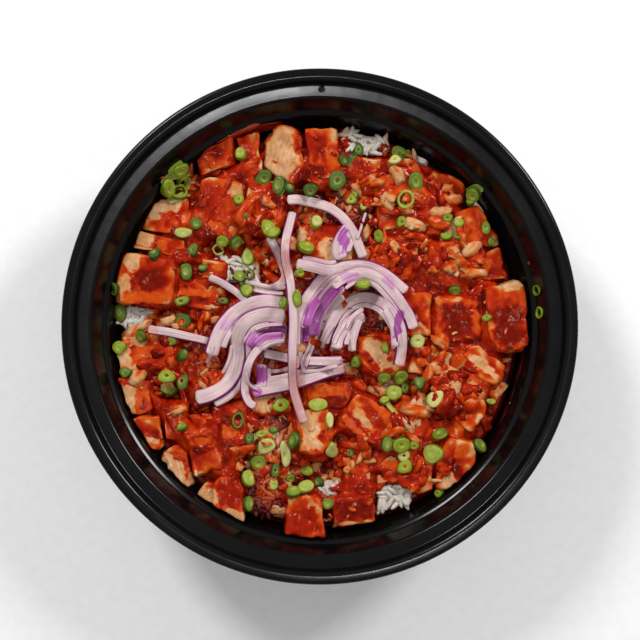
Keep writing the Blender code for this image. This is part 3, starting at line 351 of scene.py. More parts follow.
# Scallion slices: plan x, plan y, width, depth, turn, and the tone from pale (0) to dark green (1)
SCALLIONS = [
    (180, 171, 6.6, 6.6, 0, 0.4), (167, 188, 5.2, 8.0, 0, 0.35), (197, 224, 4.8, 4.8, 0, 0.7),
    (240, 153, 4.8, 4.8, 0, 0.3), (238, 200, 4.4, 5.5, 0, 0.4), (244, 212, 4.8, 5.2, 0, 0.9),
    (183, 232, 6.2, 4.4, 0, 0.2), (222, 240, 5.2, 4.4, 0, 0.4), (156, 256, 4.4, 4.8, 0, 0.9),
    (279, 185, 4.8, 7.2, 0, 0.7), (310, 190, 5.2, 5.2, 0, 0.8), (338, 180, 6.6, 6.6, 0, 0.75),
    (343, 159, 4.4, 4.4, 0, 0.85), (359, 148, 3.8, 6.4, 0, 0.9), (352, 198, 4.8, 4.8, 0, 0.35),
    (268, 228, 5.5, 6.2, 0, 0.35), (316, 221, 4.4, 6.2, -35, 0.1), (306, 248, 7.0, 7.4, 0, 0.35),
    (380, 235, 3.8, 4.8, 0, 0.45), (402, 150, 6.2, 5.6, 0, 0.6), (416, 180, 5.2, 7.2, 0, 0.6),
    (402, 221, 3.6, 4.0, 0, 0.4), (475, 194, 5.6, 5.6, 0, 0.5), (448, 236, 5.6, 4.4, 0, 0.4),
    (487, 226, 3.6, 5.0, 0, 0.5), (488, 318, 4.4, 3.2, 0, 0.45), (457, 289, 4.6, 3.6, 0, 0.6),
    (417, 341, 6.0, 4.6, 0, 0.1), (358, 362, 3.8, 5.2, 0, 0.5), (400, 376, 5.2, 5.2, 0, 0.5),
    (394, 392, 5.6, 5.6, 0, 0.3), (421, 384, 4.4, 5.0, 0, 0.75), (433, 399, 5.2, 8.0, -30, 0.05),
    (440, 435, 6.2, 6.2, 0, 0.6), (433, 453, 7.0, 6.4, 0, 0.3), (400, 443, 6.6, 6.6, 0, 0.4),
    (386, 444, 3.8, 6.2, 0, 0.65), (404, 466, 5.2, 4.6, 0, 0.4), (479, 446, 5.4, 4.6, 0, 0.6),
    (317, 404, 6.4, 5.6, 0, 0.3), (281, 406, 5.6, 4.4, 0, 0.4), (268, 446, 7.2, 5.8, 0, 0.15),
    (285, 455, 3.8, 8.6, 10, 0.0), (296, 441, 5.2, 6.4, 0, 0.7), (259, 463, 6.2, 6.0, 0, 0.6),
    (248, 479, 5.0, 5.6, 0, 0.3), (248, 503, 3.8, 6.2, 0, 0.6), (275, 470, 3.8, 4.8, 0, 0.75),
    (309, 471, 5.0, 4.2, 0, 0.4), (307, 486, 6.0, 5.0, 0, 0.25), (295, 491, 5.4, 4.8, 0, 0.5),
    (320, 483, 3.8, 3.8, 0, 0.9), (332, 449, 4.4, 6.2, 0, 0.15), (328, 502, 4.6, 4.0, 0, 0.6),
    (185, 428, 4.4, 3.2, 0, 0.5), (168, 376, 6.4, 5.2, 0, 0.4), (168, 390, 6.2, 4.4, 0, 0.6),
    (183, 356, 3.8, 7.6, 0, 0.85), (184, 382, 4.6, 6.4, 0, 0.8), (120, 349, 5.0, 5.2, 0, 0.4),
    (143, 336, 4.8, 5.4, 0, 0.6), (181, 301, 5.6, 3.8, 20, 0.5), (182, 320, 6.6, 6.0, 0, 0.8),
    (185, 272, 5.6, 6.2, 0, 0.7), (240, 277, 5.2, 4.6, 0, 0.5), (247, 290, 5.2, 4.8, 0, 0.4),
    (120, 312, 4.6, 7.0, 0, 0.7), (127, 374, 4.8, 4.4, 0, 0.7), (362, 286, 5.2, 3.8, 0, 0.45),
    (298, 300, 3.6, 6.0, 0, 0.5), (289, 188, 4.4, 4.2, 0, 1.0), (365, 204, 3.4, 3.4, 0, 0.3),
    (274, 235, 4.4, 4.4, 0, 0.35), (395, 160, 5.0, 3.4, 20, 0.05), (414, 225, 4.0, 3.6, 0, 0.1),
    (471, 203, 3.8, 3.2, 0, 0.55), (449, 217, 3.4, 3.2, 0, 0.5), (460, 223, 3.4, 3.4, 0, 0.35),
    (458, 236, 3.2, 3.2, 0, 0.6), (492, 241, 3.2, 3.6, 0, 0.6), (386, 348, 3.2, 4.4, 0, 0.4),
    (384, 377, 4.8, 4.2, 0, 0.55), (405, 388, 3.6, 4.4, 0, 0.6), (385, 401, 3.8, 3.8, 0, 0.3),
    (404, 455, 4.8, 4.2, 0, 0.15), (414, 445, 4.4, 4.2, 0, 0.45), (490, 402, 3.8, 2.6, 0, 0.3),
    (440, 492, 3.2, 2.6, 0, 0.5), (250, 438, 3.8, 5.0, 0, 0.9), (262, 434, 4.4, 3.0, 10, 0.3),
    (273, 430, 3.8, 3.6, 0, 0.85), (274, 485, 3.4, 5.0, 0, 0.25), (290, 479, 3.6, 3.6, 0, 0.5),
    (328, 420, 3.0, 5.6, 0, 0.1), (172, 341, 4.6, 3.2, 0, 0.5), (203, 268, 3.8, 2.8, 0, 0.9),
    (221, 301, 5.6, 2.6, 0, 0.9), (300, 272, 3.6, 2.8, 0, 0.4), (285, 305, 3.0, 4.4, 0, 0.5),
    (248, 258, 4.6, 6.6, 0, 0.3), (234, 242, 5.0, 4.6, 0, 0.65), (194, 250, 4.0, 4.6, 0, 0.7),
    (350, 453, 3.4, 2.8, 0, 0.8), (241, 221, 3.2, 3.0, 0, 0.1), (356, 193, 2.8, 2.6, 0, 0.4),
    (264, 176, 6.0, 5.6, 0, 0.75),
]

# Open scallion rings: plan x, plan y, width, depth, tone
SCALLION_RINGS = [
    (179, 191, 7.0, 6.6, 0.45), (406, 198, 6.4, 7.4, 0.3), (238, 421, 4.8, 7.2, 0.7),
    (218, 248, 4.0, 3.8, 0.2), (117, 290, 3.2, 5.2, 0.8), (250, 275, 3.6, 3.4, 0.5),
]

# Scallion leaves that lie flat: width, tone, and the plan points that each one runs through
SCALLION_LEAVES = [
    (3.0, 0.3, [(172, 178), (174, 169), (184, 164)]), (2.8, 0.2, [(163, 186), (170, 178), (181, 174)]),
    (2.8, 0.4, [(162, 194), (172, 188), (186, 184)]), (2.6, 0.25, [(168, 200), (178, 196), (189, 190)]),
    (2.0, 0.5, [(176, 182), (183, 176), (189, 172)]), (1.6, 0.3, [(178, 200), (186, 184), (188, 176)]),
    (2.4, 0.95, [(346, 164), (352, 156), (360, 144)]), (1.6, 0.25, [(385, 401), (391, 408), (398, 417)]),
    (1.8, 0.9, [(279, 196), (283, 188), (286, 178)]), (1.8, 0.3, [(252, 440), (262, 433), (276, 436)]),
    (1.8, 0.7, [(412, 147), (405, 153), (399, 160)]), (2.0, 0.5, [(468, 190), (476, 187), (483, 192)]),
]

# Scallion pieces stuck to the bowl's wall: plan x, plan y, size, tone
WALL_SCALLIONS = [(538, 291, 4.6, 0.6), (536, 314, 4.8, 0.4)]

# Sauce on the bowl's wall: bearing in degrees from the right, height, half width in degrees, half height,
# depth and how dark it is
WALL_SMEARS = [
    (112.0, 36.0, 6.0, 1.3, 0.45, 0.2), (119.0, 33.5, 7.0, 2.4, 0.5, 0.35),
    (106.0, 33.0, 5.0, 2.6, 0.5, 0.4), (-10.0, 29.5, 8.0, 1.6, 0.3, 0.75),
    (-22.0, 29.0, 6.0, 1.3, 0.3, 0.8), (137.0, 39.5, 0.5, 0.5, 0.4, 0.3),
    (16.5, 40.5, 0.4, 0.4, 0.3, 0.4), (150.0, 30.0, 4.0, 1.2, 0.3, 0.7),
    (-150.0, 30.0, 4.0, 1.2, 0.3, 0.7),
]

# Sauce on the crumbs, and the share of the crumbs at each amount among coated pieces and in torn places
CRUMB_TONES = (0.14, 0.3, 0.45, 0.62, 0.78)
COATED_SHARES = (0.1, 0.16, 0.22, 0.3, 0.22)
TORN_SHARES = (0.12, 0.2, 0.2, 0.26, 0.22)

# The ceiling of the round of crumbs that lies in torn places alone
ONLY_TORN = 0.0

# Rounds of crumbs: below which height they lie, how many, the least and greatest size, and their shares
CRUMB_ROUNDS = [
    (30.5, 300, 1.2, 3.2, COATED_SHARES), (32.0, 220, 0.9, 2.4, COATED_SHARES),
    (ONLY_TORN, 250, 1.2, 3.2, TORN_SHARES), (60.0, 120, 0.4, 0.9, COATED_SHARES),
]
CRUMB_REACH = 71.5

# Rice grains for each square millimetre of a mound, and of the wide mound in the middle
MOUND_GRAINS = 0.36
MIDDLE_GRAINS = 0.14

# Loose rice grains between the pieces
LOOSE_GRAINS = 420
LOOSE_REACH = 71.0
LOOSE_LEVELS = (27.2, 28.4)

# The sheet of sauce: the reach within which it fills hollows, how far it stays from the wall, how steeply it
# may rise from there, and the level that marks the points of its top before they are laid
POOL_BRIM = 3.2
POOL_MARGIN = 2.0
POOL_SLOPE = 1.6
POOL_TOP = 99.0

# Onion: the widest strip with one layer, how far aside an inner layer lies as a share of the width, how much
# lower it lies, and how thick and how high the slivers are
SINGLE_WIDTH = 3.9
INNER_ASIDE = 0.62
INNER_DROP = 0.55
SLIVER_THICKNESS = 1.1
SLIVER_CEILING = 40.0

# Scallions: thickness of a leaf piece, and thickness and level of the rings on the wall
LEAF_THICKNESS = 0.8
WALL_RING_THICKNESS = 1.3
WALL_RING_LEVEL = 41.0

# The stage in metres: half the floor's width, each lamp's place, size and watts, and the camera's target
FLOOR_HALF = 2.0
LAMPS = [
    ("lamp_left", (-0.55, 0.75, 0.9), 0.26, 8.0), ("lamp_right", (0.75, 0.6, 0.8), 0.24, 7.0),
    ("lamp_above", (0.05, -0.12, 1.05), 0.07, 1.4),
]
CAMERA_TARGET = (0.0001, 0.0013, 0.05)

# Detail of the surfaces
NOISE_CELLS = 32
CORNER_STEPS = 5
DOT_STEPS = 6
BED_SEGMENTS = 200
BED_RINGS = 60
POOL_SEGMENTS = 380
POOL_RINGS = 150
SMEAR_STEPS = 14
LUMP_STEPS = 3
BLOCK_STEPS = 30
SCRAP_STEPS = 16
MOUND_STEPS = 24
EDGE_SHARPNESS = 24.0
MOUND_SHARPNESS = 8.0
FIBRE_SPACING = 1.2
RELIEF_STEP = 0.4
RELIEF_HALF = 95.0
STRIP_SPACING = 0.5
STRIP_COLUMNS = 32
LEAF_SPACING = 0.4
LEAF_COLUMNS = 16
SLICE_SEGMENTS = 20
RING_SEGMENTS = 22


def plan_point(x, y):
    """The place in millimetres of a point on the plan grid."""
    return np.array([(x - PLAN_CENTRE[0]) * PLAN_STEP, (PLAN_CENTRE[1] - y) * PLAN_STEP])


def wall_radius(z):
    """The bowl's inner radius beside the food."""
    return WALL_RADIUS + (z - WALL_LEVEL) * WALL_SLOPE


def linear(code):
    """The linear colour of an sRGB hex value."""
    parts = [int(code[k:k + 2], 16) / 255 for k in (1, 3, 5)]
    return tuple(c / 12.92 if c <= 0.04045 else ((c + 0.055) / 1.055) ** 2.4 for c in parts)


def ink(colour):
    """A socket's colour from an sRGB hex value or a linear colour."""
    return (*(linear(colour) if isinstance(colour, str) else colour), 1.0)


def per_mm(size):
    """The scale of a pattern on object coordinates whose features are a size in millimetres."""
    return 1.0 / (size * METRE)


def smooth_step(t):
    """0 below 0, 1 above 1, and 3t² - 2t³ between them."""
    t = np.clip(t, 0.0, 1.0)
    return t * t * (3.0 - 2.0 * t)


@functools.lru_cache(maxsize=None)
def noise_table(seed):
    """Random values from -1 to 1 on a cubic lattice."""
    return np.random.default_rng(seed).uniform(-1.0, 1.0, (NOISE_CELLS,) * 3)


def noise(points, size, seed):
    """Smooth noise from -1 to 1: the lattice's values in cells of a size, blended by 3t² - 2t³ each way."""
    table = noise_table(seed)
    spot = points / size
    base = np.floor(spot).astype(int)
    t = smooth_step(spot - base)
    total = np.zeros(len(points))
    for corner in itertools.product((0, 1), repeat=3):
        index = (base + corner) % NOISE_CELLS
        weight = np.prod(np.where(corner, t, 1.0 - t), axis=1)
        total += weight * table[index[:, 0], index[:, 1], index[:, 2]]
    return total


def within(place, spots):
    """Whether a place lies within the reach of any of the spots."""
    return any(np.linalg.norm(place - plan_point(x, y)) < reach for x, y, reach in spots)


def patch_mask(points, ripple, x, y, width, depth, turn):
    """1 inside a patch of the plan with rounded corners, where |x|³ + |y|³ is less than 1, and 0 outside it,
    with an edge that the ripple shifts in and out."""
    angle = math.radians(turn)
    step = points[:, :2] - plan_point(x, y)
    wide = np.abs(step @ np.array([math.cos(angle), math.sin(angle)])) / (width / 2)
    deep = np.abs(step @ np.array([-math.sin(angle), math.cos(angle)])) / (depth / 2)
    return smooth_step((1.25 + 0.4 * ripple - np.cbrt(wide ** 3 + deep ** 3)) / 0.5)


def painted(level, points, patches, seed):
    """A level for each point, drawn to each patch's amount inside that patch."""
    ripple = noise(points, 2.4, seed) + 0.5 * noise(points, 1.1, seed + 1)
    for amount, x, y, width, depth, turn in patches:
        mask = patch_mask(points, ripple, x, y, width, depth, turn)
        level = level + (amount - level) * mask
    return level


@functools.lru_cache(maxsize=None)
def cube_grid(steps):
    """Points of a cube from -1 to 1 and its squares, steps × steps a face, at the tangents of even angles so
    that they stay alike when pushed out to a sphere. Points shared by faces are merged."""
    line = np.tan(np.linspace(-math.pi / 4, math.pi / 4, steps + 1))
    u, v = np.meshgrid(line, line, indexing="ij")
    grid = np.arange((steps + 1) ** 2).reshape(steps + 1, steps + 1)
    cells = np.stack([grid[:-1, :-1], grid[1:, :-1], grid[1:, 1:], grid[:-1, 1:]], axis=-1).reshape(-1, 4)
    points = []
    quads = []
    for axis, sign in itertools.product(range(3), (1.0, -1.0)):
        face = np.stack([np.full_like(u, sign), u * sign, v], axis=-1).reshape(-1, 3)
        quads.append(cells + len(points) * grid.size)
        points.append(np.roll(face, axis, axis=1))
    merged, index = np.unique(np.round(np.concatenate(points), 7), axis=0, return_inverse=True)
    return merged, index.reshape(-1)[np.concatenate(quads)]


def ball_grid(steps, roundness=1.0):
    """A cube's points divided by their length to a power, which at 1 makes a ball, and its squares."""
    cube, quads = cube_grid(steps)
    return cube / np.linalg.norm(cube, axis=1)[:, None] ** roundness, quads


def strip_grid(rows, columns):
    """Faces of rows of points that each close on themselves, with the two ends closed by fans to the last two
    points: quads and triangles."""
    index = np.arange(rows * columns).reshape(rows, columns)
    ahead = np.roll(index, -1, axis=1)
    quads = np.stack([index[:-1], ahead[:-1], ahead[1:], index[1:]], axis=-1).reshape(-1, 4)
    first = np.full(columns, rows * columns)
    low = np.stack([first, ahead[0], index[0]], axis=-1)
    high = np.stack([first + 1, index[-1], ahead[-1]], axis=-1)
    return quads, np.concatenate([low, high])


class Shape:
    """Patches of surface gathered into one mesh: points in millimetres, faces and point attributes."""

    def __init__(self):
        self.points = []
        self.faces = []
        self.values = {}
        self.count = 0

    def add(self, points, faces, **values):
        """Adds a patch. Faces are arrays of three or four columns that count from the patch's first point."""
        self.points.append(points)
        self.faces += [face + self.count for face in faces]
        self.count += len(points)
        for name, value in values.items():
            value = np.asarray(value, float)
            full = value if value.ndim and len(value) == len(points) else np.full(len(points), float(value))
            self.values.setdefault(name, []).append(full)

    def put(self, name, material, nodes=()):
        """Makes the object, which rides on the body, takes the slot's finish and stands for the nodes."""
        points = np.concatenate(self.points) * METRE
        sizes = np.concatenate([np.full(len(face), face.shape[1]) for face in self.faces])
        corners = np.concatenate([face.ravel() for face in self.faces])
        mesh = bpy.data.meshes.new(name)
        mesh.vertices.add(len(points))
        mesh.vertices.foreach_set("co", points.astype(np.float32).ravel())
        mesh.loops.add(len(corners))
        mesh.loops.foreach_set("vertex_index", corners.astype(np.int32))
        mesh.polygons.add(len(sizes))
        mesh.polygons.foreach_set("loop_start", (np.cumsum(sizes) - sizes).astype(np.int32))
        mesh.polygons.foreach_set("use_smooth", np.ones(len(sizes), bool))
        for key, parts in self.values.items():
            value = np.concatenate(parts).astype(np.float32)
            kind, field = ("FLOAT", "value") if value.ndim == 1 else ("FLOAT_VECTOR", "vector")
            mesh.attributes.new(key, kind, "POINT").data.foreach_set(field, value.ravel())
        mesh.update(calc_edges=True)
        mesh.validate()
        mesh.materials.append(material)
        obj = bpy.data.objects.new(name, mesh)
        bpy.context.scene.collection.objects.link(obj)
        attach(obj, "root")
        if nodes:
            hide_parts(*nodes)


class Cell:
    """A knife-cut block or a mound, held as planes, with the upright planes that fence it off from others."""

    def __init__(self, name, spec, bottom, rng, cut):
        x, y, self.width, self.depth, turn, self.top = spec[:6]
        self.name = name
        self.bottom = bottom
        self.middle = plan_point(x, y)
        angle = math.radians(turn)
        self.across = np.array([math.cos(angle), math.sin(angle)])
        self.along = np.array([-math.sin(angle), math.cos(angle)])
        self.fences = []
        self.own = self.block_planes(rng, cut)

    def reach(self, direction):
        """Half of the block's extent along a direction of the plan."""
        wide = abs(direction @ self.across) * self.width / 2
        return wide + abs(direction @ self.along) * self.depth / 2

    def plane(self, direction, distance):
        """A world plane from a direction in the block's own axes and a distance from its middle."""
        d = np.array(direction, float)
        d = d / np.linalg.norm(d)
        flat = self.across * d[0] + self.along * d[1]
        normal = np.array([flat[0], flat[1], d[2]])
        centre = np.array([self.middle[0], self.middle[1], (self.top + self.bottom) / 2])
        return [*normal, normal @ centre + distance]

    def block_planes(self, rng, cut):
        """The six sides, leaning a little, and slanting cuts over the upper edges and the corners."""
        wide = self.width / 2 + SPREAD * cut
        deep = self.depth / 2 + SPREAD * cut
        tall = (self.top - self.bottom) / 2
        corner = math.hypot(wide, deep)
        lean = LEAN * cut
        planes = [self.plane((0, 0, -1), tall)]
        planes.append(self.plane((rng.uniform(-lean, lean), rng.uniform(-lean, lean), 1), tall * 0.97))
        for sign in (-1, 1):
            planes.append(self.plane((sign, rng.uniform(-lean, lean), rng.uniform(0.0, 0.25)), wide))
            planes.append(self.plane((rng.uniform(-lean, lean), sign, rng.uniform(0.0, 0.25)), deep))
            for x, y, half in ((sign, 0, wide), (0, sign, deep)):
                direction = (x, y, rng.uniform(0.7, 1.2))
                planes.append(self.plane(direction, (half * 0.66 + tall * 0.74) * rng.uniform(0.92, 1)))
            for other in (-1, 1):
                direction = (sign * deep / corner, other * wide / corner, rng.uniform(0.05, 0.4))
                planes.append(self.plane(direction, 2 * wide * deep / corner * rng.uniform(0.74, 0.9)))
        return planes

    def planes(self):
        """Every plane that bounds the block."""
        return np.array(self.own + self.fences)

    def centre(self):
        """The mean of the block's corners, which lies inside it, and half of its extents on its own axes."""
        corners = corners_of(self.planes())
        middle = corners.mean(axis=0)
        return middle, np.ptp((corners - middle) @ self.axes().T, axis=0) / 2

    def axes(self):
        """The block's own axes as rows."""
        return np.array([[*self.across, 0.0], [*self.along, 0.0], [0.0, 0.0, 1.0]])


def corners_of(planes):
    """The corners of the convex body inside a set of planes, rows of normal and distance."""
    normals = planes[:, :3]
    distances = planes[:, 3]
    triples = np.array(list(itertools.combinations(range(len(planes)), 3)))
    systems = normals[triples]
    sound = np.abs(np.linalg.det(systems)) > 2e-3
    found = np.linalg.solve(systems[sound], distances[triples][sound][..., None])[..., 0]
    inside = (found @ normals.T <= distances + 1e-5).all(axis=1)
    return found[inside]


def fence_between(first, second, rng):
    """Sets the upright plane that parts two blocks along the direction in which they are furthest apart."""
    step = second.middle - first.middle
    best = None
    for direction in (first.across, first.along, second.across, second.along, step):
        unit = direction / np.linalg.norm(direction)
        unit = unit if unit @ step >= 0 else -unit
        space = unit @ step - first.reach(unit) - second.reach(unit)
        if best is None or space > best[0]:
            best = (space, unit)
    space, unit = best
    if space > FENCE_RANGE:
        return
    place = unit @ first.middle + first.reach(unit) + space / 2
    slant = rng.uniform(-LEAN, LEAN)
    normal = np.array([unit[0], unit[1], slant]) / math.hypot(1.0, slant)
    level = (min(first.top, second.top) + BED_TOP) / 2
    distance = normal @ np.array([unit[0] * place, unit[1] * place, level])
    first.fences.append([*normal, distance - GAP / 2])
    second.fences.append([*(-normal), -distance - GAP / 2])


def fence_from_wall(cell):
    """Keeps a block inside the bowl: planes along the wall's slope every ten degrees, where it comes near,
    and an upright plane that stops its spread towards the wall."""
    out = cell.middle / np.linalg.norm(cell.middle)
    edge = out @ cell.middle + cell.reach(out)
    if edge > EDGE_START:
        cell.fences.append([out[0], out[1], 0.0, edge - 0.5])
    for angle in np.radians(np.arange(0, 360, 10)):
        unit = np.array([math.cos(angle), math.sin(angle)])
        if unit @ cell.middle + cell.reach(unit) + 3.0 < wall_radius(BED_TOP):
            continue
        normal = np.array([unit[0], unit[1], -WALL_SLOPE])
        length = np.linalg.norm(normal)
        cell.fences.append([*(normal / length), (wall_radius(0.0) - GAP - 0.1) / length])


@functools.lru_cache(maxsize=None)
def make_cells():
    """Every chicken block and rice mound fenced off from its neighbours and the wall, then each scrap with
    the fences of the piece that it is joined to."""
    rng = random.Random(SEED)
    cells = {}
    for name, spec in CHICKEN.items():
        cells[name] = Cell(name, spec, BED_TOP + GAP, rng, CHICKEN_CUT)
    for name, spec in RICE.items():
        cells[name] = Cell(name, spec, BED_TOP - MOUND_DEPTH, rng, MOUND_CUT)
    for first, second in itertools.combinations(cells.values(), 2):
        if not (first.name in RICE and second.name in RICE):
            fence_between(first, second, rng)
    for cell in cells.values():
        fence_from_wall(cell)
    scraps = {name: [] for name in cells}
    for spec in SCRAPS:
        host = spec[6]
        bottom = BED_TOP + GAP if host in CHICKEN else BED_TOP - SCRAP_DEPTH
        scrap = Cell("scrap", spec, bottom, rng, SCRAP_CUT)
        scrap.fences = list(cells[host].fences)
        if len(corners_of(scrap.planes())):
            scraps[host].append(scrap)
    return cells, scraps


def soft_block(cell, steps, sharpness):
    """A block's surface and how near each point is to an edge. Along a unit direction d from the middle the
    radius is the sum over the planes of (n·d / distance) to a high power, taken to minus one over that power,
    which rounds the edges inwards. The mean normal of the planes that count there is short at an edge."""
    cube, quads = cube_grid(steps)
    middle, half = cell.centre()
    directions = (cube * half) @ cell.axes()
    directions /= np.linalg.norm(directions, axis=1)[:, None]
    planes = cell.planes()
    away = planes[:, 3] - planes[:, :3] @ middle
    share = np.maximum(directions @ planes[:, :3].T, 0.0) / away
    radius = (share ** sharpness).sum(axis=1) ** (-1.0 / sharpness)
    weight = share ** 7
    weight /= weight.sum(axis=1)[:, None]
    edge = np.clip((1.0 - np.linalg.norm(weight @ planes[:, :3], axis=1)) / 0.2, 0.0, 1.0)
    return middle, directions, radius, edge, quads


def fibre_axes(rng):
    """Three axes as rows, the first along the meat's fibres, which lie nearly level in any direction."""
    heading = rng.uniform(0, math.pi)
    rise = rng.uniform(-0.35, 0.35)
    first = np.array([math.cos(heading) * math.cos(rise), math.sin(heading) * math.cos(rise), math.sin(rise)])
    second = np.array([-math.sin(heading), math.cos(heading), 0.0])
    return np.array([first, second, np.cross(first, second)])


def meat_patch(shape, cell, steps, rng, settings):
    """One cooked piece: a soft block with broad lumps, pits and ridges along its fibres pressed into it where
    it is bare, and a wavy layer of sauce where it is coated. Its sauce level holds painted shade low on its
    sides and a painted highlight along its upper edges."""
    middle, directions, radius, edge, quads = soft_block(cell, steps, EDGE_SHARPNESS)
    points = middle + directions * radius[:, None]
    grain = (points - middle) @ fibre_axes(rng).T * np.array([0.24, 1.0, 1.0])
    # Painted shade: the sauce level rises lower down each piece's sides, so they darken towards the gaps,
    # both as thicker sauce and as shade between the pieces.
    depth = np.clip((cell.top - points[:, 2]) / 8.0, 0.0, 1.0)
    level = 0.66 + 0.26 * noise(points, 5.0, 11) + 0.16 * noise(points, 1.9, 12)
    # Painted highlight: the level drops along the upper edges, so they turn orange where light catches them,
    # as well as where the sauce runs thin.
    level += 0.3 * depth * depth - 0.4 * edge * (1.0 - depth) * (0.5 + 0.8 * noise(points, 3.5, 13))
    level = painted(level, points, SAUCE_PATCHES, 14) + 0.06 * noise(points, 1.2, 22)
    bare = smooth_step((0.5 - level) / 0.4)
    ridges = np.abs(noise(grain + 40.0, FIBRE_SPACING, 15))
    ridges += 0.6 * np.abs(noise(grain + 9.0, 2.3 * FIBRE_SPACING, 21))
    inward = settings.lumps * (0.32 + 0.5 * noise(points, 5.5, 16))
    inward += 0.6 * (0.4 + 0.5 * noise(points, 2.4, 17))
    inward += settings.fibres * ridges * (0.45 + 0.55 * bare)
    inward += 1.5 * edge * np.maximum(noise(points, 3.2, 20), 0.0)
    inward += 0.9 * np.maximum(noise(points, 3.6, 18) - 0.4, 0.0) / 0.6
    inward -= 0.2 * (1.0 - bare) * (0.5 + 0.5 * noise(points, 1.7, 19))
    points = middle + directions * (radius - np.clip(inward, 0.0, radius * 0.3))[:, None]
    shape.add(points, [quads], sauce=level, grain=grain)


def spread(field, reach, pick):
    """The greatest or least value of a field within a round reach of each square."""
    size = int(round(reach / RELIEF_STEP))
    result = field
    for dx, dy in itertools.product(range(-size, size + 1), repeat=2):
        if dx * dx + dy * dy <= size * size + 1:
            result = pick(result, np.roll(field, (dy, dx), axis=(0, 1)))
    return result


class Relief:
    """The highest point of the bowl and of the pieces made so far in each square of a plan grid."""

    def __init__(self, prefixes, wall=True):
        line = np.arange(-RELIEF_HALF, RELIEF_HALF, RELIEF_STEP) + RELIEF_STEP / 2
        self.x, self.y = np.meshgrid(line, line)
        radii, heights = zip(*reversed(INNER_PROFILE))
        bowl = np.interp(np.hypot(self.x, self.y), radii, heights)
        self.z = np.where(bowl > 5.0, bowl, FLOOR_HEIGHT) if wall else np.full(self.x.shape, BED_TOP - 0.5)
        for obj in bpy.context.scene.objects:
            if obj.name.startswith(prefixes) and obj.name not in frame["nodes"]:
                points = np.empty(len(obj.data.vertices) * 3, np.float32)
                obj.data.vertices.foreach_get("co", points)
                self.add(points.reshape(-1, 3) / METRE)

    def add(self, points):
        """Takes points into the grid."""
        spot = ((points[:, :2] + RELIEF_HALF) / RELIEF_STEP).astype(int)
        np.maximum.at(self.z, (spot[:, 1], spot[:, 0]), points[:, 2])

    def filled(self, reach):
        """The relief with every hollow narrower than twice the reach filled to its brim: the greatest height
        within the reach, and then the least of those within the reach."""
        return spread(spread(self.z, reach, np.maximum), reach, np.minimum)

    def sample(self, field, points):
        """The values of a field over the same grid at plan points, blended between its squares."""
        spot = (points[:, :2] + RELIEF_HALF) / RELIEF_STEP - 0.5
        base = np.clip(spot.astype(int), 0, len(field) - 2)
        t = np.clip(spot - base, 0.0, 1.0)
        total = np.zeros(len(points))
        for dx, dy in itertools.product((0, 1), repeat=2):
            weight = np.where(dx, t[:, 0], 1 - t[:, 0]) * np.where(dy, t[:, 1], 1 - t[:, 1])
            total += weight * field[base[:, 1] + dy, base[:, 0] + dx]
        return total

    def surface(self, place, reach):
        """The height and upward normal of the plane that fits the relief round a place by least squares."""
        low = ((np.array(place) - reach + RELIEF_HALF) / RELIEF_STEP).astype(int)
        high = ((np.array(place) + reach + RELIEF_HALF) / RELIEF_STEP).astype(int) + 1
        window = self.z[low[1]:high[1], low[0]:high[0]]
        rows, columns = np.nonzero(window > np.max(window) - 3.0)
        x = (columns + low[0] + 0.5) * RELIEF_STEP - RELIEF_HALF - place[0]
        y = (rows + low[1] + 0.5) * RELIEF_STEP - RELIEF_HALF - place[1]
        height = window[rows, columns]
        fit = np.linalg.lstsq(np.column_stack([np.ones(len(x)), x, y]), height, rcond=None)[0]
        slope = np.clip(fit[1:], -1.1, 1.1)
        normal = np.array([-slope[0], -slope[1], 1.0])
        return max(fit[0], float(np.median(height))), normal / np.linalg.norm(normal)


def frame_of(normal, turn):
    """Three axes as rows: two that lie in a slanting face, the first at a turn in degrees, and its normal."""
    angle = math.radians(turn)
    side = np.array([math.cos(angle), math.sin(angle), 0.0])
    side = side - normal * (side @ normal)
    side /= np.linalg.norm(side)
    return np.array([side, np.cross(normal, side), normal])


def smooth_path(points, spacing):
    """Plan points joined by a smooth curve, each stretch a cubic through its four nearest points."""
    knots = np.array([plan_point(x, y) for x, y in points])
    knots = np.vstack([2 * knots[0] - knots[1], knots, 2 * knots[-1] - knots[-2]])
    curve = []
    for k in range(1, len(knots) - 2):
        p0, p1, p2, p3 = knots[k - 1:k + 3]
        steps = max(2, int(round(np.linalg.norm(p2 - p1) / spacing)))
        t = (np.arange(steps) / steps)[:, None]
        bend = 2 * p0 - 5 * p1 + 4 * p2 - p3
        curve.append(0.5 * (2 * p1 + (p2 - p0) * t + bend * t * t + (3 * p1 - p0 - 3 * p2 + p3) * t ** 3))
    curve.append(knots[-2][None])
    return np.concatenate(curve)


def softened(values, times):
    """Values along a line, each replaced a number of times by the mean of itself and its neighbours."""
    for _ in range(times):
        padded = np.pad(values, 1, mode="edge")
        values = (padded[:-2] + 2 * padded[1:-1] + padded[2:]) / 4
    return values


def left_of(curve):
    """The unit step to the left of a line at each of its points."""
    ahead = np.gradient(curve, axis=0)
    ahead /= np.linalg.norm(ahead, axis=1)[:, None]
    return np.column_stack([-ahead[:, 1], ahead[:, 0]])


def squared_off(wave):
    """A circle's cosine or sine, drawn out to that of the rounded square |x|^4 + |z|^4 = 1."""
    return np.sign(wave) * np.sqrt(np.abs(wave))


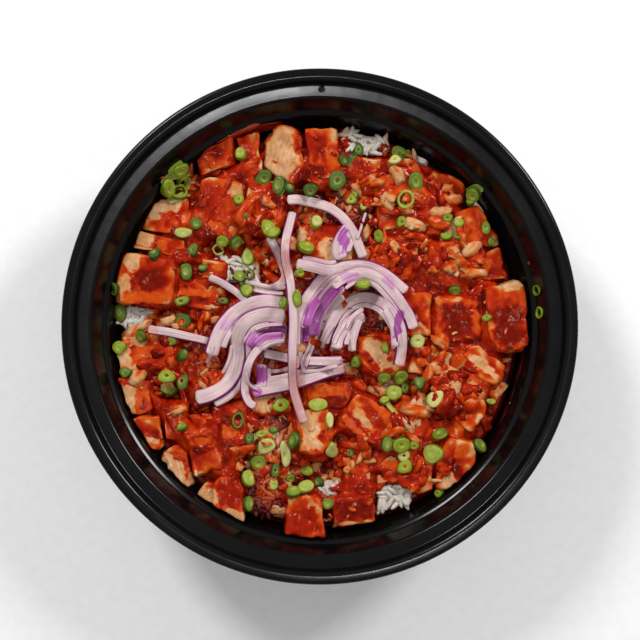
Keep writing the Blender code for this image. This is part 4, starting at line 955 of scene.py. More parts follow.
def carried_profile(curve, heights, width, thickness, roll, cup, columns):
    """A flat profile with rounded corners carried along a line: a rounded square stretched to the width and
    thickness, cupped along x², turned by the roll, and drawn in to a point at both ends."""
    steps = np.linalg.norm(np.diff(curve, axis=0), axis=1)
    length = np.concatenate([[0.0], np.cumsum(steps)])
    end = np.clip(np.minimum(length, length[-1] - length) / (0.22 * width), 0.0, 1.0)
    taper = (np.sqrt(np.clip(1.0 - (1.0 - end) ** 2, 0.0, 1.0)) * 0.96 + 0.04)[:, None]
    angle = np.arange(columns) * 2 * math.pi / columns
    wide = squared_off(np.cos(angle))
    x = wide * width / 2 * taper
    z = squared_off(np.sin(angle)) * thickness / 2 * taper - cup * (wide * wide - 0.4)
    turned = x * np.cos(roll)[:, None] - z * np.sin(roll)[:, None]
    lifted = x * np.sin(roll)[:, None] + z * np.cos(roll)[:, None]
    rows = len(curve)
    points = np.empty((rows, columns, 3))
    points[:, :, :2] = curve[:, None, :] + left_of(curve)[:, None, :] * turned[..., None]
    points[:, :, 2] = heights[:, None] + lifted
    ends = np.array([[*curve[0], heights[0]], [*curve[-1], heights[-1]]])
    side = np.append(np.tile(wide, rows), [0.0, 0.0])
    along = np.append(np.repeat(length, columns), [0.0, length[-1]])
    return np.concatenate([points.reshape(-1, 3), ends]), strip_grid(rows, columns), side, along


def fillet(profile, size, steps):
    """A profile with each corner rounded: a quadratic curve between points at most `size` from the corner."""
    points = np.array(profile, float)
    rounded = [points[:1]]
    t = np.linspace(0.0, 1.0, steps)[:, None]
    for before, corner, after in zip(points[:-2], points[1:-1], points[2:]):
        back = before - corner
        ahead = after - corner
        start = corner + back * min(0.42, size / np.linalg.norm(back))
        finish = corner + ahead * min(0.42, size / np.linalg.norm(ahead))
        rounded.append(start * (1 - t) ** 2 + corner * 2 * t * (1 - t) + finish * t ** 2)
    rounded.append(points[-1:])
    return np.concatenate(rounded)


def turned_body(profile, segments):
    """Points and faces of a closed body turned about Z from a profile that runs from the axis below to the
    axis above, along the outside."""
    angle = np.arange(segments) * 2 * math.pi / segments
    radius = profile[1:-1, 0][:, None]
    z = np.broadcast_to(profile[1:-1, 1][:, None], (len(profile) - 2, segments))
    points = np.stack([radius * np.cos(angle), radius * np.sin(angle), z], axis=-1).reshape(-1, 3)
    ends = np.array([[0.0, 0.0, profile[0, 1]], [0.0, 0.0, profile[-1, 1]]])
    return np.concatenate([points, ends]), strip_grid(len(profile) - 2, segments)


def ring_body(profile, segments):
    """Points and faces of an open ring turned about Z from a profile that closes on itself."""
    angle = np.arange(segments) * 2 * math.pi / segments
    radius = profile[:, :1]
    z = np.broadcast_to(profile[:, 1:], (len(profile), segments))
    points = np.stack([radius * np.cos(angle), radius * np.sin(angle), z], axis=-1).reshape(-1, 3)
    index = np.arange(len(points)).reshape(len(profile), segments)
    ahead = np.roll(index, -1, axis=1)
    above = np.roll(index, -1, axis=0)
    quads = np.stack([index, ahead, np.roll(above, -1, axis=1), above], axis=-1).reshape(-1, 4)
    return points, [quads]


def scattered(steps, centres, halves, turns, bend, seed, rough, roundness=1.0):
    """Many small lumps as one array: a cube's points pushed out towards a sphere, roughened by noise, bent
    along x², stretched to each lump's half sizes, turned by its axes and moved to its place."""
    ball, quads = ball_grid(steps, roundness)
    count = len(centres)
    size = len(ball)
    order = np.arange(count)[:, None, None]
    spots = ball[None] + order * np.array([7.3, 3.1, 5.7])
    swell = 1.0 + rough * noise(spots.reshape(-1, 3), 0.8, seed).reshape(count, size, 1)
    body = ball[None] * swell * halves[:, None, :]
    body[..., 2] += bend[:, None] * ball[None, :, 0] ** 2
    points = np.einsum("kmi,kij->kmj", body, turns) + centres[:, None, :]
    return points.reshape(-1, 3), [(quads[None] + order * size).reshape(-1, 4)], size


def headings(rng, count, rise):
    """Axes as rows for many lumps: the first heads any way and rises by up to the given angle."""
    heading = rng.uniform(0, 2 * math.pi, count)
    lift = rng.uniform(-rise, rise, count)
    along = np.stack([np.cos(heading) * np.cos(lift), np.sin(heading) * np.cos(lift), np.sin(lift)], axis=-1)
    side = np.stack([-np.sin(heading), np.cos(heading), np.zeros(count)], axis=-1)
    return np.stack([along, side, np.cross(along, side)], axis=1)


def add(tree, kind, inputs, output=0, stops=(), **settings):
    """Adds a shader node: its settings, its sockets, each one linked or given a value, and its colour stops.
    Gives back one of its outputs."""
    made = tree.nodes.new("ShaderNode" + kind)
    for name, value in settings.items():
        setattr(made, name, value)
    for socket, value in inputs.items():
        if isinstance(value, bpy.types.NodeSocket):
            tree.links.new(value, made.inputs[socket])
        else:
            made.inputs[socket].default_value = value
    for k, (place, colour) in enumerate(stops):
        ramp = made.color_ramp.elements
        stop = ramp[k] if k < 2 else ramp.new(place)
        stop.position = place
        stop.color = ink(colour)
    return made.outputs[output]


def new_material(name, **values):
    """A material, its node tree, its shader with the constant sockets set, and the object's coordinates."""
    material = bpy.data.materials.new(name)
    material.use_nodes = True
    tree = material.node_tree
    shader = tree.nodes["Principled BSDF"]
    for key, value in values.items():
        shader.inputs[key.replace("_", " ").title().replace("Ior", "IOR")].default_value = value
    return material, tree, shader, add(tree, "TexCoord", {}, "Object")


def finish(tree, shader, colour, height, strength, depth):
    """Joins a colour to the shader, and a bump that follows a height, of a depth in millimetres."""
    bump = add(tree, "Bump", {"Height": height, "Strength": strength, "Distance": depth * METRE})
    tree.links.new(colour, shader.inputs["Base Color"])
    tree.links.new(bump, shader.inputs["Normal"])


def black_plastic(settings):
    """Black moulded polypropylene: glossy and even, with faint flow marks that soften its reflections."""
    material, tree, shader, place = new_material(
        "black_moulded_polypropylene", ior=1.49, specular_ior_level=0.23)
    cloud = add(tree, "TexNoise", {"Vector": place, "Scale": per_mm(22.0), "Detail": 3.0})
    shine = add(tree, "MapRange", {"Value": cloud, "To Min": 0.12, "To Max": 0.24})
    tree.links.new(shine, shader.inputs["Roughness"])
    shades = {0: cloud, 6: ink(settings.plastic), 7: ink("#0C0C0E")}
    colour = add(tree, "Mix", shades, 2, data_type="RGBA")
    marks = add(tree, "TexNoise", {"Vector": place, "Scale": per_mm(9.0)})
    finish(tree, shader, colour, marks, 0.12, 0.4)
    return material


def sauced_meat(settings):
    """Cooked chicken breast, cut and tossed in red pepper sauce: fibrous and matt where bare, orange where
    the sauce is thin, deep red and wet where it is thick. The sauce level it is given also carries painted
    shade in low places and painted highlights on upper edges."""
    material, tree, shader, place = new_material(
        "cooked_chicken_in_pepper_sauce", ior=1.42, coat_weight=0.06, coat_roughness=0.08,
        specular_ior_level=0.4, specular_tint=(1.0, 0.46, 0.3, 1.0), subsurface_weight=0.08,
        subsurface_radius=(0.003, 0.0012, 0.0006))
    amount = add(tree, "Attribute", {}, "Fac", attribute_name="sauce")
    spots = {"Vector": place, "Scale": per_mm(2.4), "Detail": 4.0, "Roughness": 0.65}
    level = add(tree, "Math", {0: amount, 1: -0.13}, operation="ADD")
    level = add(tree, "Math", {0: add(tree, "TexNoise", spots), 1: 0.26, 2: level}, operation="MULTIPLY_ADD")
    grain = add(tree, "Attribute", {}, "Vector", attribute_name="grain")
    streak = add(tree, "TexNoise", {"Vector": grain, "Scale": 1.0 / 0.9, "Detail": 3.0})
    patchy = add(tree, "TexNoise", {"Vector": place, "Scale": per_mm(4.2), "Detail": 3.0})
    patchy = add(tree, "Math", {0: patchy, 1: 0.55}, operation="MULTIPLY")
    mottle = add(tree, "Math", {0: streak, 1: 0.45, 2: patchy}, operation="MULTIPLY_ADD")
    meat = add(tree, "ValToRGB", {"Fac": mottle}, stops=[
        (0.26, settings.tan), (0.68, settings.pale), (0.48, settings.meat),
    ])
    sauce = add(tree, "ValToRGB", {"Fac": level}, stops=[
        (0.2, "#C97C36"), (1.0, "#3A0300"), (0.36, settings.orange), (0.5, "#B83208"), (0.66, settings.red),
        (0.84, "#740C01"),
    ])
    reach = {"Value": level, "From Min": 0.1, "From Max": 0.36}
    cover = add(tree, "MapRange", reach, interpolation_type="SMOOTHSTEP")
    colour = add(tree, "Mix", {0: cover, 6: meat, 7: sauce}, 2, data_type="RGBA")
    wet = {"Value": level, "From Min": 0.05, "From Max": 0.6, "To Min": 0.5, "To Max": 0.2}
    tree.links.new(add(tree, "MapRange", wet), shader.inputs["Roughness"])
    open_meat = add(tree, "Math", {0: 1.0, 1: cover}, operation="SUBTRACT")
    fibre = add(tree, "Math", {0: streak, 1: open_meat}, operation="MULTIPLY")
    drops = add(tree, "TexNoise", {"Vector": place, "Scale": per_mm(1.3), "Detail": 3.0})
    height = add(tree, "Math", {0: drops, 1: 0.5, 2: fibre}, operation="MULTIPLY_ADD")
    finish(tree, shader, colour, height, 0.42, 0.6)
    return material


def pepper_sauce():
    """Red pepper sauce: a wet, oily film, near black where it is deep and red where it runs thin."""
    material, tree, shader, place = new_material(
        "red_pepper_sauce", ior=1.45, roughness=0.16, coat_weight=0.4, coat_roughness=0.05)
    amount = add(tree, "Attribute", {}, "Fac", attribute_name="sauce")
    spots = add(tree, "TexNoise", {"Vector": place, "Scale": per_mm(3.0), "Detail": 4.0})
    depth = add(tree, "Math", {0: spots, 1: 0.5, 2: amount}, operation="MULTIPLY_ADD")
    depth = add(tree, "Math", {0: depth, 1: -0.25}, operation="ADD")
    colour = add(tree, "ValToRGB", {"Fac": depth}, stops=[
        (0.15, "#B33A10"), (1.0, "#120302"), (0.4, "#8A1608"), (0.65, "#4A0A04"),
    ])
    ripples = add(tree, "TexNoise", {"Vector": place, "Scale": per_mm(1.8), "Detail": 3.0})
    finish(tree, shader, colour, ripples, 0.5, 0.8)
    return material


def cooked_rice(settings):
    """Steamed white rice: translucent, moist grains with milky middles, stained red by the sauce."""
    material, tree, shader, place = new_material(
        "steamed_white_rice", ior=1.4, roughness=0.42, subsurface_weight=0.2,
        subsurface_radius=(0.002, 0.0016, 0.0012))
    cloud = add(tree, "TexNoise", {"Vector": place, "Scale": per_mm(1.6), "Detail": 3.0})
    shades = {0: cloud, 6: ink("#B5AA9C"), 7: ink(settings.grain_colour)}
    white = add(tree, "Mix", shades, 2, data_type="RGBA")
    amount = add(tree, "Attribute", {}, "Fac", attribute_name="sauce")
    spots = add(tree, "TexNoise", {"Vector": place, "Scale": per_mm(2.6), "Detail": 3.0})
    stain = add(tree, "Math", {0: spots, 1: 0.3, 2: amount}, operation="MULTIPLY_ADD")
    sauce = add(tree, "ValToRGB", {"Fac": stain}, stops=[
        (0.35, "#D09A68"), (1.0, "#4A0A02"), (0.6, "#B04A14"), (0.82, "#8A1C06"),
    ])
    cover = add(tree, "MapRange", {"Value": stain, "From Min": 0.25, "From Max": 0.55})
    colour = add(tree, "Mix", {0: cover, 6: white, 7: sauce}, 2, data_type="RGBA")
    pores = add(tree, "TexNoise", {"Vector": place, "Scale": per_mm(0.8)})
    finish(tree, shader, colour, pores, 0.3, 0.4)
    return material


def sliced_onion(settings):
    """Raw red onion: crisp, wet, pale flesh with fine veins along it, and a purple skin side."""
    material, tree, shader, place = new_material(
        "sliced_red_onion", ior=1.38, roughness=0.42, coat_weight=0.06, coat_roughness=0.1,
        specular_ior_level=0.35, subsurface_weight=0.12, subsurface_radius=(0.0022, 0.0016, 0.0018))
    vein = add(tree, "Attribute", {}, "Vector", attribute_name="vein")
    lines = add(tree, "TexNoise", {"Vector": vein, "Scale": 1.0, "Detail": 4.0})
    cloud = add(tree, "TexNoise", {"Vector": place, "Scale": per_mm(5.0)})
    flesh = add(tree, "Mix", {0: cloud, 6: ink("#C6A2A4"), 7: ink(settings.pale)}, 2, data_type="RGBA")
    strength = add(tree, "MapRange", {"Value": lines, "From Min": 0.42, "From Max": 0.7, "To Max": 0.5})
    flesh = add(tree, "Mix", {0: strength, 6: flesh, 7: ink("#A07A92")}, 2, data_type="RGBA")
    side = add(tree, "Attribute", {}, "Fac", attribute_name="skin")
    waver = add(tree, "Math", {0: lines, 1: 0.5}, operation="SUBTRACT")
    skin = add(tree, "Math", {0: waver, 1: 0.8, 2: side}, operation="MULTIPLY_ADD")
    cover = add(tree, "MapRange", {"Value": skin, "From Min": 0.3, "From Max": 0.62})
    purple = add(tree, "ValToRGB", {"Fac": skin}, stops=[
        (0.4, "#C08CB6"), (1.0, "#5E244C"), (0.66, settings.purple),
    ])
    colour = add(tree, "Mix", {0: cover, 6: flesh, 7: purple}, 2, data_type="RGBA")
    stain = add(tree, "Attribute", {}, "Fac", attribute_name="sauce")
    colour = add(tree, "Mix", {0: stain, 6: colour, 7: ink("#B5481E")}, 2, data_type="RGBA")
    finish(tree, shader, colour, lines, 0.22, 0.4)
    return material


def sliced_scallion(settings):
    """Raw scallion: smooth and moist, pale lime near the root and deep green towards the leaf, with a paler
    cut rim."""
    material, tree, shader, place = new_material(
        "sliced_scallion", ior=1.38, roughness=0.38, coat_weight=0.08, coat_roughness=0.15,
        specular_ior_level=0.3, subsurface_weight=0.15, subsurface_radius=(0.0015, 0.0016, 0.0006))
    cloud = add(tree, "TexNoise", {"Vector": place, "Scale": per_mm(2.2)})
    cloud = add(tree, "Math", {0: cloud, 1: 0.5}, operation="SUBTRACT")
    age = add(tree, "Attribute", {}, "Fac", attribute_name="tone")
    tone = add(tree, "Math", {0: cloud, 1: 0.35, 2: age}, operation="MULTIPLY_ADD")
    green = add(tree, "ValToRGB", {"Fac": tone}, stops=[
        (0.05, settings.root), (1.0, settings.leaf), (0.36, settings.lime), (0.7, "#51661C"),
    ])
    rim = add(tree, "Attribute", {}, "Fac", attribute_name="rim")
    rim = add(tree, "Math", {0: rim, 1: 0.42}, operation="MULTIPLY")
    colour = add(tree, "Mix", {0: rim, 6: green, 7: ink("#B9BE5E")}, 2, data_type="RGBA")
    pores = add(tree, "TexNoise", {"Vector": place, "Scale": per_mm(0.9)})
    finish(tree, shader, colour, pores, 0.25, 0.3)
    return material


def white_card(settings):
    """Matt white card: even, with the faintest tooth."""
    material, tree, shader, place = new_material("matt_white_card", roughness=0.8)
    cloud = add(tree, "TexNoise", {"Vector": place, "Scale": per_mm(4.0)})
    colour = add(tree, "Mix", {0: cloud, 6: ink(settings.floor), 7: ink("#FFFFFF")}, 2, data_type="RGBA")
    tree.links.new(colour, shader.inputs["Base Color"])
    return material


def colour_setting(name, description, code):
    """A colour that the user may change, from an sRGB hex value."""
    return bpy.props.FloatVectorProperty(
        name=name, description=description, subtype="COLOR", size=3, min=0.0, max=1.0, default=linear(code))


def size_setting(name, description, default, least, most, **kind):
    """A size or strength that the user may change, with its limits."""
    return bpy.props.FloatProperty(
        name=name, description=description, default=default, min=least, max=most, **kind)


class BowlSettings(bpy.types.PropertyGroup):
    """Sizes and colour of the bowl."""

    corner: size_setting("Corner radius", "How far each corner is rounded, in millimetres", 0.55, 0.1, 1.0)
    segments: bpy.props.IntProperty(
        name="Segments", description="Faces round the bowl", default=384, min=48, max=480)
    plastic: colour_setting("Plastic", "Colour of the moulded plastic", "#050506")


class FoodSettings(bpy.types.PropertyGroup):
    """Sizes and colours of the chicken and the rice."""

    lumps: size_setting("Lumps", "Depth of the chicken's broad hollows, in millimetres", 1.5, 0.0, 2.0)
    fibres: size_setting("Fibres", "Depth of the ridges along the fibres, in millimetres", 0.3, 0.0, 1.5)
    grain_length: size_setting("Grain length", "Length of a rice grain, in millimetres", 5.9, 4.0, 8.0)
    grain_width: size_setting("Grain width", "Width of a rice grain, in millimetres", 1.9, 1.0, 3.0)
    meat: colour_setting("Meat", "Main colour of bare chicken", "#CA9464")
    pale: colour_setting("Pale meat", "Palest colour of bare chicken", "#E2B68C")
    tan: colour_setting("Tan meat", "Darkest colour of bare chicken", "#A87040")
    red: colour_setting("Red sauce", "Colour of the sauce", "#9E1A02")
    orange: colour_setting("Orange sauce", "Colour of thin sauce", "#C84E08")
    grain_colour: colour_setting("Rice", "Colour of clean rice", "#D6CFC6")


class OnionSettings(bpy.types.PropertyGroup):
    """Sizes and colours of the onion."""

    thickness: size_setting("Thickness", "Thickness of an onion strip, in millimetres", 1.7, 1.0, 2.5)
    pale: colour_setting("Flesh", "Colour of the onion's flesh", "#E6D2CA")
    purple: colour_setting("Skin side", "Colour of the onion's purple side", "#B055A6")


class ScallionSettings(bpy.types.PropertyGroup):
    """Sizes and colours of the scallions."""

    thickness: size_setting("Thickness", "Thickness of a scallion slice, in millimetres", 1.7, 0.8, 3.0)
    root: colour_setting("Root end", "Palest colour of the scallions", "#C8C07A")
    lime: colour_setting("Middle", "Middle colour of the scallions", "#87961A")
    leaf: colour_setting("Leaf end", "Darkest colour of the scallions", "#2C440E")


class StageSettings(bpy.types.PropertyGroup):
    """The floor, the light and the camera."""

    floor: colour_setting("Floor", "Colour of the floor", "#F4F4F4")
    sky: size_setting("Room light", "Strength of the even light of the room", 0.34, 0.0, 3.0)
    lamp: size_setting("Lamps", "How many times their usual power the lamps have", 1.0, 0.0, 20.0)
    distance: size_setting(
        "Camera distance", "Distance from the camera to the rim", 0.45, 0.2, 2.0, unit="LENGTH")
    elevation: size_setting(
        "Camera elevation", "Angle of the camera above the table", math.radians(87.0), 0.0, math.pi / 2,
        unit="ROTATION")
    lens: size_setting("Lens", "Focal length in millimetres", 70.9, 20.0, 200.0, unit="CAMERA")


class RICEBOWL_OT_bowl(bpy.types.Operator):
    """Makes the black bowl with its stepped wall, ledge and skirted rim"""

    bl_idname = "ricebowl.bowl"
    bl_label = "Bowl"

    def execute(self, context):
        settings = context.scene.ricebowl_bowl
        profile = [(0.0, 0.0)] + OUTER_PROFILE + INNER_PROFILE + [(0.0, FLOOR_HEIGHT)]
        shape = Shape()
        shape.add(*turned_body(fillet(profile, settings.corner, CORNER_STEPS), settings.segments))
        ball, quads = ball_grid(DOT_STEPS)
        shape.add(ball * np.array(DOT_HALVES) + np.array(DOT_PLACE), [quads])
        shape.put("bowl_moulding", black_plastic(settings), ["bowl"])
        return {"FINISHED"}


class RICEBOWL_OT_chicken(bpy.types.Operator):
    """Makes each piece of chicken with the scraps that lie on it"""

    bl_idname = "ricebowl.chicken"
    bl_label = "Chicken"

    def execute(self, context):
        settings = context.scene.ricebowl_food
        material = sauced_meat(settings)
        cells, scraps = make_cells()
        rng = random.Random(SEED + 1)
        for name in CHICKEN:
            shape = Shape()
            meat_patch(shape, cells[name], BLOCK_STEPS, rng, settings)
            for scrap in scraps[name]:
                meat_patch(shape, scrap, SCRAP_STEPS, rng, settings)
            shape.put(name + "_sauced", material, [name])
        return {"FINISHED"}


class RICEBOWL_OT_rice(bpy.types.Operator):
    """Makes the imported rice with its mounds, the loose grains on it and the scraps that lie in it"""

    bl_idname = "ricebowl.rice"
    bl_label = "Rice"

    def execute(self, context):
        settings = context.scene.ricebowl_food
        material = cooked_rice(settings)
        cells, scraps = make_cells()
        self.make_bed(material, cells)
        self.make_scraps(scraps, settings)
        self.make_grains(material, cells, settings)
        return {"FINISHED"}

    def make_bed(self, material, cells):
        """The core fills the bowl to a small gap, with grain-sized bumps of noise on its top, and the mounds
        are soft blocks let into it."""
        wall = [(r - GAP - 0.15, z) for r, z in reversed(INNER_PROFILE) if 1.3 < z < 20.0]
        shoulder = BED_TOP - 2.0
        top = BED_TOP - 0.4
        profile = [(0.0, FLOOR_HEIGHT + GAP), (59.0, FLOOR_HEIGHT + GAP)] + wall
        profile += [(wall_radius(shoulder) - 0.6, shoulder), (wall_radius(shoulder) - 2.6, top)]
        profile += [(r, top) for r in np.linspace(70.0, 2.0, BED_RINGS)] + [(0.0, top)]
        points, faces = turned_body(np.array(profile), BED_SEGMENTS)
        bumps = 0.3 * noise(points, 2.2, 31) + 0.3 * noise(points, 5.0, 32)
        points[:, 2] += np.where(points[:, 2] > BED_TOP - 1.0, bumps, 0.0)
        shape = Shape()
        shape.add(points, faces, sauce=0.8)
        for name, spec in RICE.items():
            middle, directions, radius, _, quads = soft_block(cells[name], MOUND_STEPS, MOUND_SHARPNESS)
            surface = middle + directions * radius[:, None]
            bumps = 0.35 * noise(surface, 2.0, 33) + 0.25 * noise(surface, 1.1, 34) - 0.5
            surface += directions * bumps[:, None]
            shape.add(surface, [quads], sauce=self.stain(surface, middle, spec))
        shape.put("rice_bed_heap", material, ["rice_bed"])

    def stain(self, points, middle, spec):
        """How much sauce a mound's rice has taken up: least in its middle, by how clean the mound is."""
        far = np.hypot(points[:, 0] - middle[0], points[:, 1] - middle[1]) / (max(spec[2], spec[3]) / 2)
        return 1.0 - spec[6] + 0.35 * far * far + 0.3 * noise(points, 5.0, 35) - 0.25

    def make_scraps(self, scraps, settings):
        """The scraps of chicken that lie in the rice."""
        shape = Shape()
        rng = random.Random(SEED + 2)
        for name in RICE:
            for scrap in scraps[name]:
                meat_patch(shape, scrap, SCRAP_STEPS, rng, settings)
        shape.put("chicken_scraps", bpy.data.materials["cooked_chicken_in_pepper_sauce"])

    def make_grains(self, material, cells, settings):
        """Long grains on the mounds, about four for each 10 mm² of mound, and a few between the pieces."""
        rng = np.random.default_rng(SEED + 3)
        relief = Relief(("rice_bed",))
        centres = []
        stains = []
        for name, spec in RICE.items():
            cell = cells[name]
            fences = np.array(cell.fences)
            count = int(spec[2] * spec[3] * (MIDDLE_GRAINS if name == "rice_middle" else MOUND_GRAINS))
            wide = rng.uniform(-0.52, 0.52, count)[:, None] * cell.across * cell.width
            deep = rng.uniform(-0.52, 0.52, count)[:, None] * cell.along * cell.depth
            lift = rng.uniform(0.1, 1.1, count)
            for place, rise in zip(cell.middle + wide + deep, lift):
                height, _ = relief.surface(place, 1.2)
                centre = np.array([*place, height + rise])
                if height > BED_TOP + 0.6 and (fences[:, :3] @ centre < fences[:, 3] - 0.8).all():
                    centres.append(centre)
                    stains.append(self.stain(centre[None], cell.middle, spec)[0])
        angle = rng.uniform(0, 2 * math.pi, LOOSE_GRAINS)
        radius = LOOSE_REACH * np.sqrt(rng.uniform(0, 1, LOOSE_GRAINS))
        level = rng.uniform(*LOOSE_LEVELS, LOOSE_GRAINS)
        loose = np.column_stack([radius * np.cos(angle), radius * np.sin(angle), level])
        centres = np.concatenate([np.array(centres), loose])
        stains = np.concatenate([stains, rng.uniform(0.35, 0.75, LOOSE_GRAINS)])
        total = len(centres)
        halves = np.column_stack([settings.grain_length * rng.uniform(0.44, 0.54, total),
                                  settings.grain_width * rng.uniform(0.44, 0.54, total),
                                  settings.grain_width * rng.uniform(0.40, 0.48, total)])
        turns = headings(rng, total, 0.4)
        bend = rng.uniform(-0.3, 0.3, total)
        points, faces, size = scattered(LUMP_STEPS, centres, halves, turns, bend, 36, 0.06)
        shape = Shape()
        shape.add(points, faces, sauce=np.repeat(stains, size))
        shape.put("rice_grains", material)


class RICEBOWL_OT_sauce(bpy.types.Operator):
    """Makes the sauce between the pieces and on the wall, and the crumbs of chicken in it"""

    bl_idname = "ricebowl.sauce"
    bl_label = "Sauce and crumbs"

    def execute(self, context):
        meat = bpy.data.materials["cooked_chicken_in_pepper_sauce"]
        self.make_pool(meat)
        self.make_smears(pepper_sauce())
        self.make_crumbs(meat)
        return {"FINISHED"}

    def make_pool(self, material):
        """A turned sheet whose top follows the pieces, with narrow hollows filled, a little below their tops,
        so that it shows only between them; it is roughened by three sizes of noise, and its colour darkens
        where it lies lower, as thicker sauce and as painted shade between the pieces."""
        relief = Relief(("chicken", "rice_bed"), wall=False)
        relief.z = spread(relief.z, 0.8, np.maximum)
        brim = relief.filled(POOL_BRIM)
        low = BED_TOP - 0.8
        edge = wall_radius(BED_TOP) - POOL_MARGIN
        profile = [(0.0, low), (edge - 2.0, low), (edge, low + 0.5)]
        profile += [(r, POOL_TOP) for r in (*np.linspace(edge - 0.6, 0.6, POOL_RINGS), 0.0)]
        points, faces = turned_body(np.array(profile), POOL_SEGMENTS)
        top = points[:, 2] > POOL_TOP - 1.0
        radius = np.hypot(points[:, 0], points[:, 1])
        over = painted(np.zeros(len(points)), points, [(1.0, *patch) for patch in MANTLES], 38)
        sauce = painted(np.full(len(points), RED), points, SAUCE_PATCHES, 14)
        bare = smooth_step((0.5 - sauce) / 0.2)
        below = 1.0 + 0.6 * noise(points, 3.6, 41) + 0.4 * noise(points, 1.8, 42)
        below += 0.2 * noise(points, 0.9, 43) + 1.6 * bare - 1.35 * over * (1.0 - bare)
        below += 3.0 * np.maximum(noise(points, 6.0, 49) - 0.25, 0.0) * (1.0 - over)
        height = relief.sample(brim, points) - below
        height = np.maximum(height, BED_TOP + 0.4 + 0.5 * noise(points, 3.0, 40))
        inside = np.maximum(edge - 2.5 - radius, 0.0)
        height = np.minimum(height, BED_TOP + 0.3 + inside * POOL_SLOPE)
        points[:, 2] = np.where(top, height, points[:, 2])
        # Painted shade: the sheet's sauce level rises, and its colour darkens, where it lies lower between
        # the pieces, as thicker sauce and as shade in the hollows.
        deep = np.clip((32.0 - height) / 5.0, 0.0, 1.0)
        level = 0.66 + 0.2 * deep + 0.28 * noise(points, 5.0, 44) + 0.16 * noise(points, 1.6, 45)
        shape = Shape()
        shape.add(points, faces, sauce=level, grain=points * np.array([0.5, 1.0, 1.0]))
        shape.put("sauce_between", material)

    def make_smears(self, material):
        """Films on the bowl's wall: a ball's x and y are laid along the wall's bearing and height, its z is
        the film's depth, and noise makes the outline uneven."""
        ball, quads = ball_grid(SMEAR_STEPS)
        shape = Shape()
        for bearing, height, wide, tall, thick, dark in WALL_SMEARS:
            swell = 1.0 + 0.45 * noise(ball + bearing, 0.6, 45)
            angle = np.radians(bearing + ball[:, 0] * wide * swell)
            z = height + ball[:, 1] * tall * swell
            upper = UPPER_RADIUS + (z - UPPER_LEVEL) * UPPER_SLOPE
            radius = np.where(z > UPPER_LEVEL, upper, wall_radius(z) + 0.05) - ball[:, 2] * thick
            points = np.column_stack([radius * np.cos(angle), radius * np.sin(angle), z])
            shape.add(points, [quads[:, ::-1]], sauce=dark + 0.25 * noise(ball + bearing, 0.5, 46))
        shape.put("sauce_on_wall", material)

    def make_crumbs(self, material):
        """Shreds and crumbs of chicken, laid in four rounds, each on the one before: two in the low places
        between the pieces, one where the meat is torn, with more bare meat, and small ones on everything."""
        rng = np.random.default_rng(SEED + 4)
        relief = Relief(("chicken", "sauce_between", "rice_bed"), wall=False)
        shape = Shape()
        for ceiling, wanted, least, most, shares in CRUMB_ROUNDS:
            centres = []
            halves = []
            while len(centres) < wanted:
                angle = rng.uniform(0, 2 * math.pi)
                radius = CRUMB_REACH * math.sqrt(rng.uniform(0, 1))
                place = np.array([radius * math.cos(angle), radius * math.sin(angle)])
                height, _ = relief.surface(place, 0.8)
                low_enough = height < ceiling or ceiling == ONLY_TORN and within(place, SHREDDED)
                if low_enough and not within(place, CLEAN_RICE):
                    size = rng.uniform(least, most)
                    halves.append([size * rng.uniform(1.0, 1.8), size * rng.uniform(0.5, 0.85), size * 0.5])
                    centres.append([*place, height + size * 0.15])
            turns = headings(rng, wanted, 0.45)
            bend = rng.uniform(-0.3, 0.3, wanted)
            points, faces, size = scattered(
                LUMP_STEPS, np.array(centres), np.array(halves), turns, bend, 47, 0.5, 0.55)
            tone = rng.choice(CRUMB_TONES, wanted, p=shares)
            level = np.repeat(tone, size) + 0.36 * noise(points, 1.6, 48)
            shape.add(points, faces, sauce=level, grain=points * np.array([0.4, 1.0, 1.0]))
            relief.add(points)
        shape.put("chicken_crumbs", material)


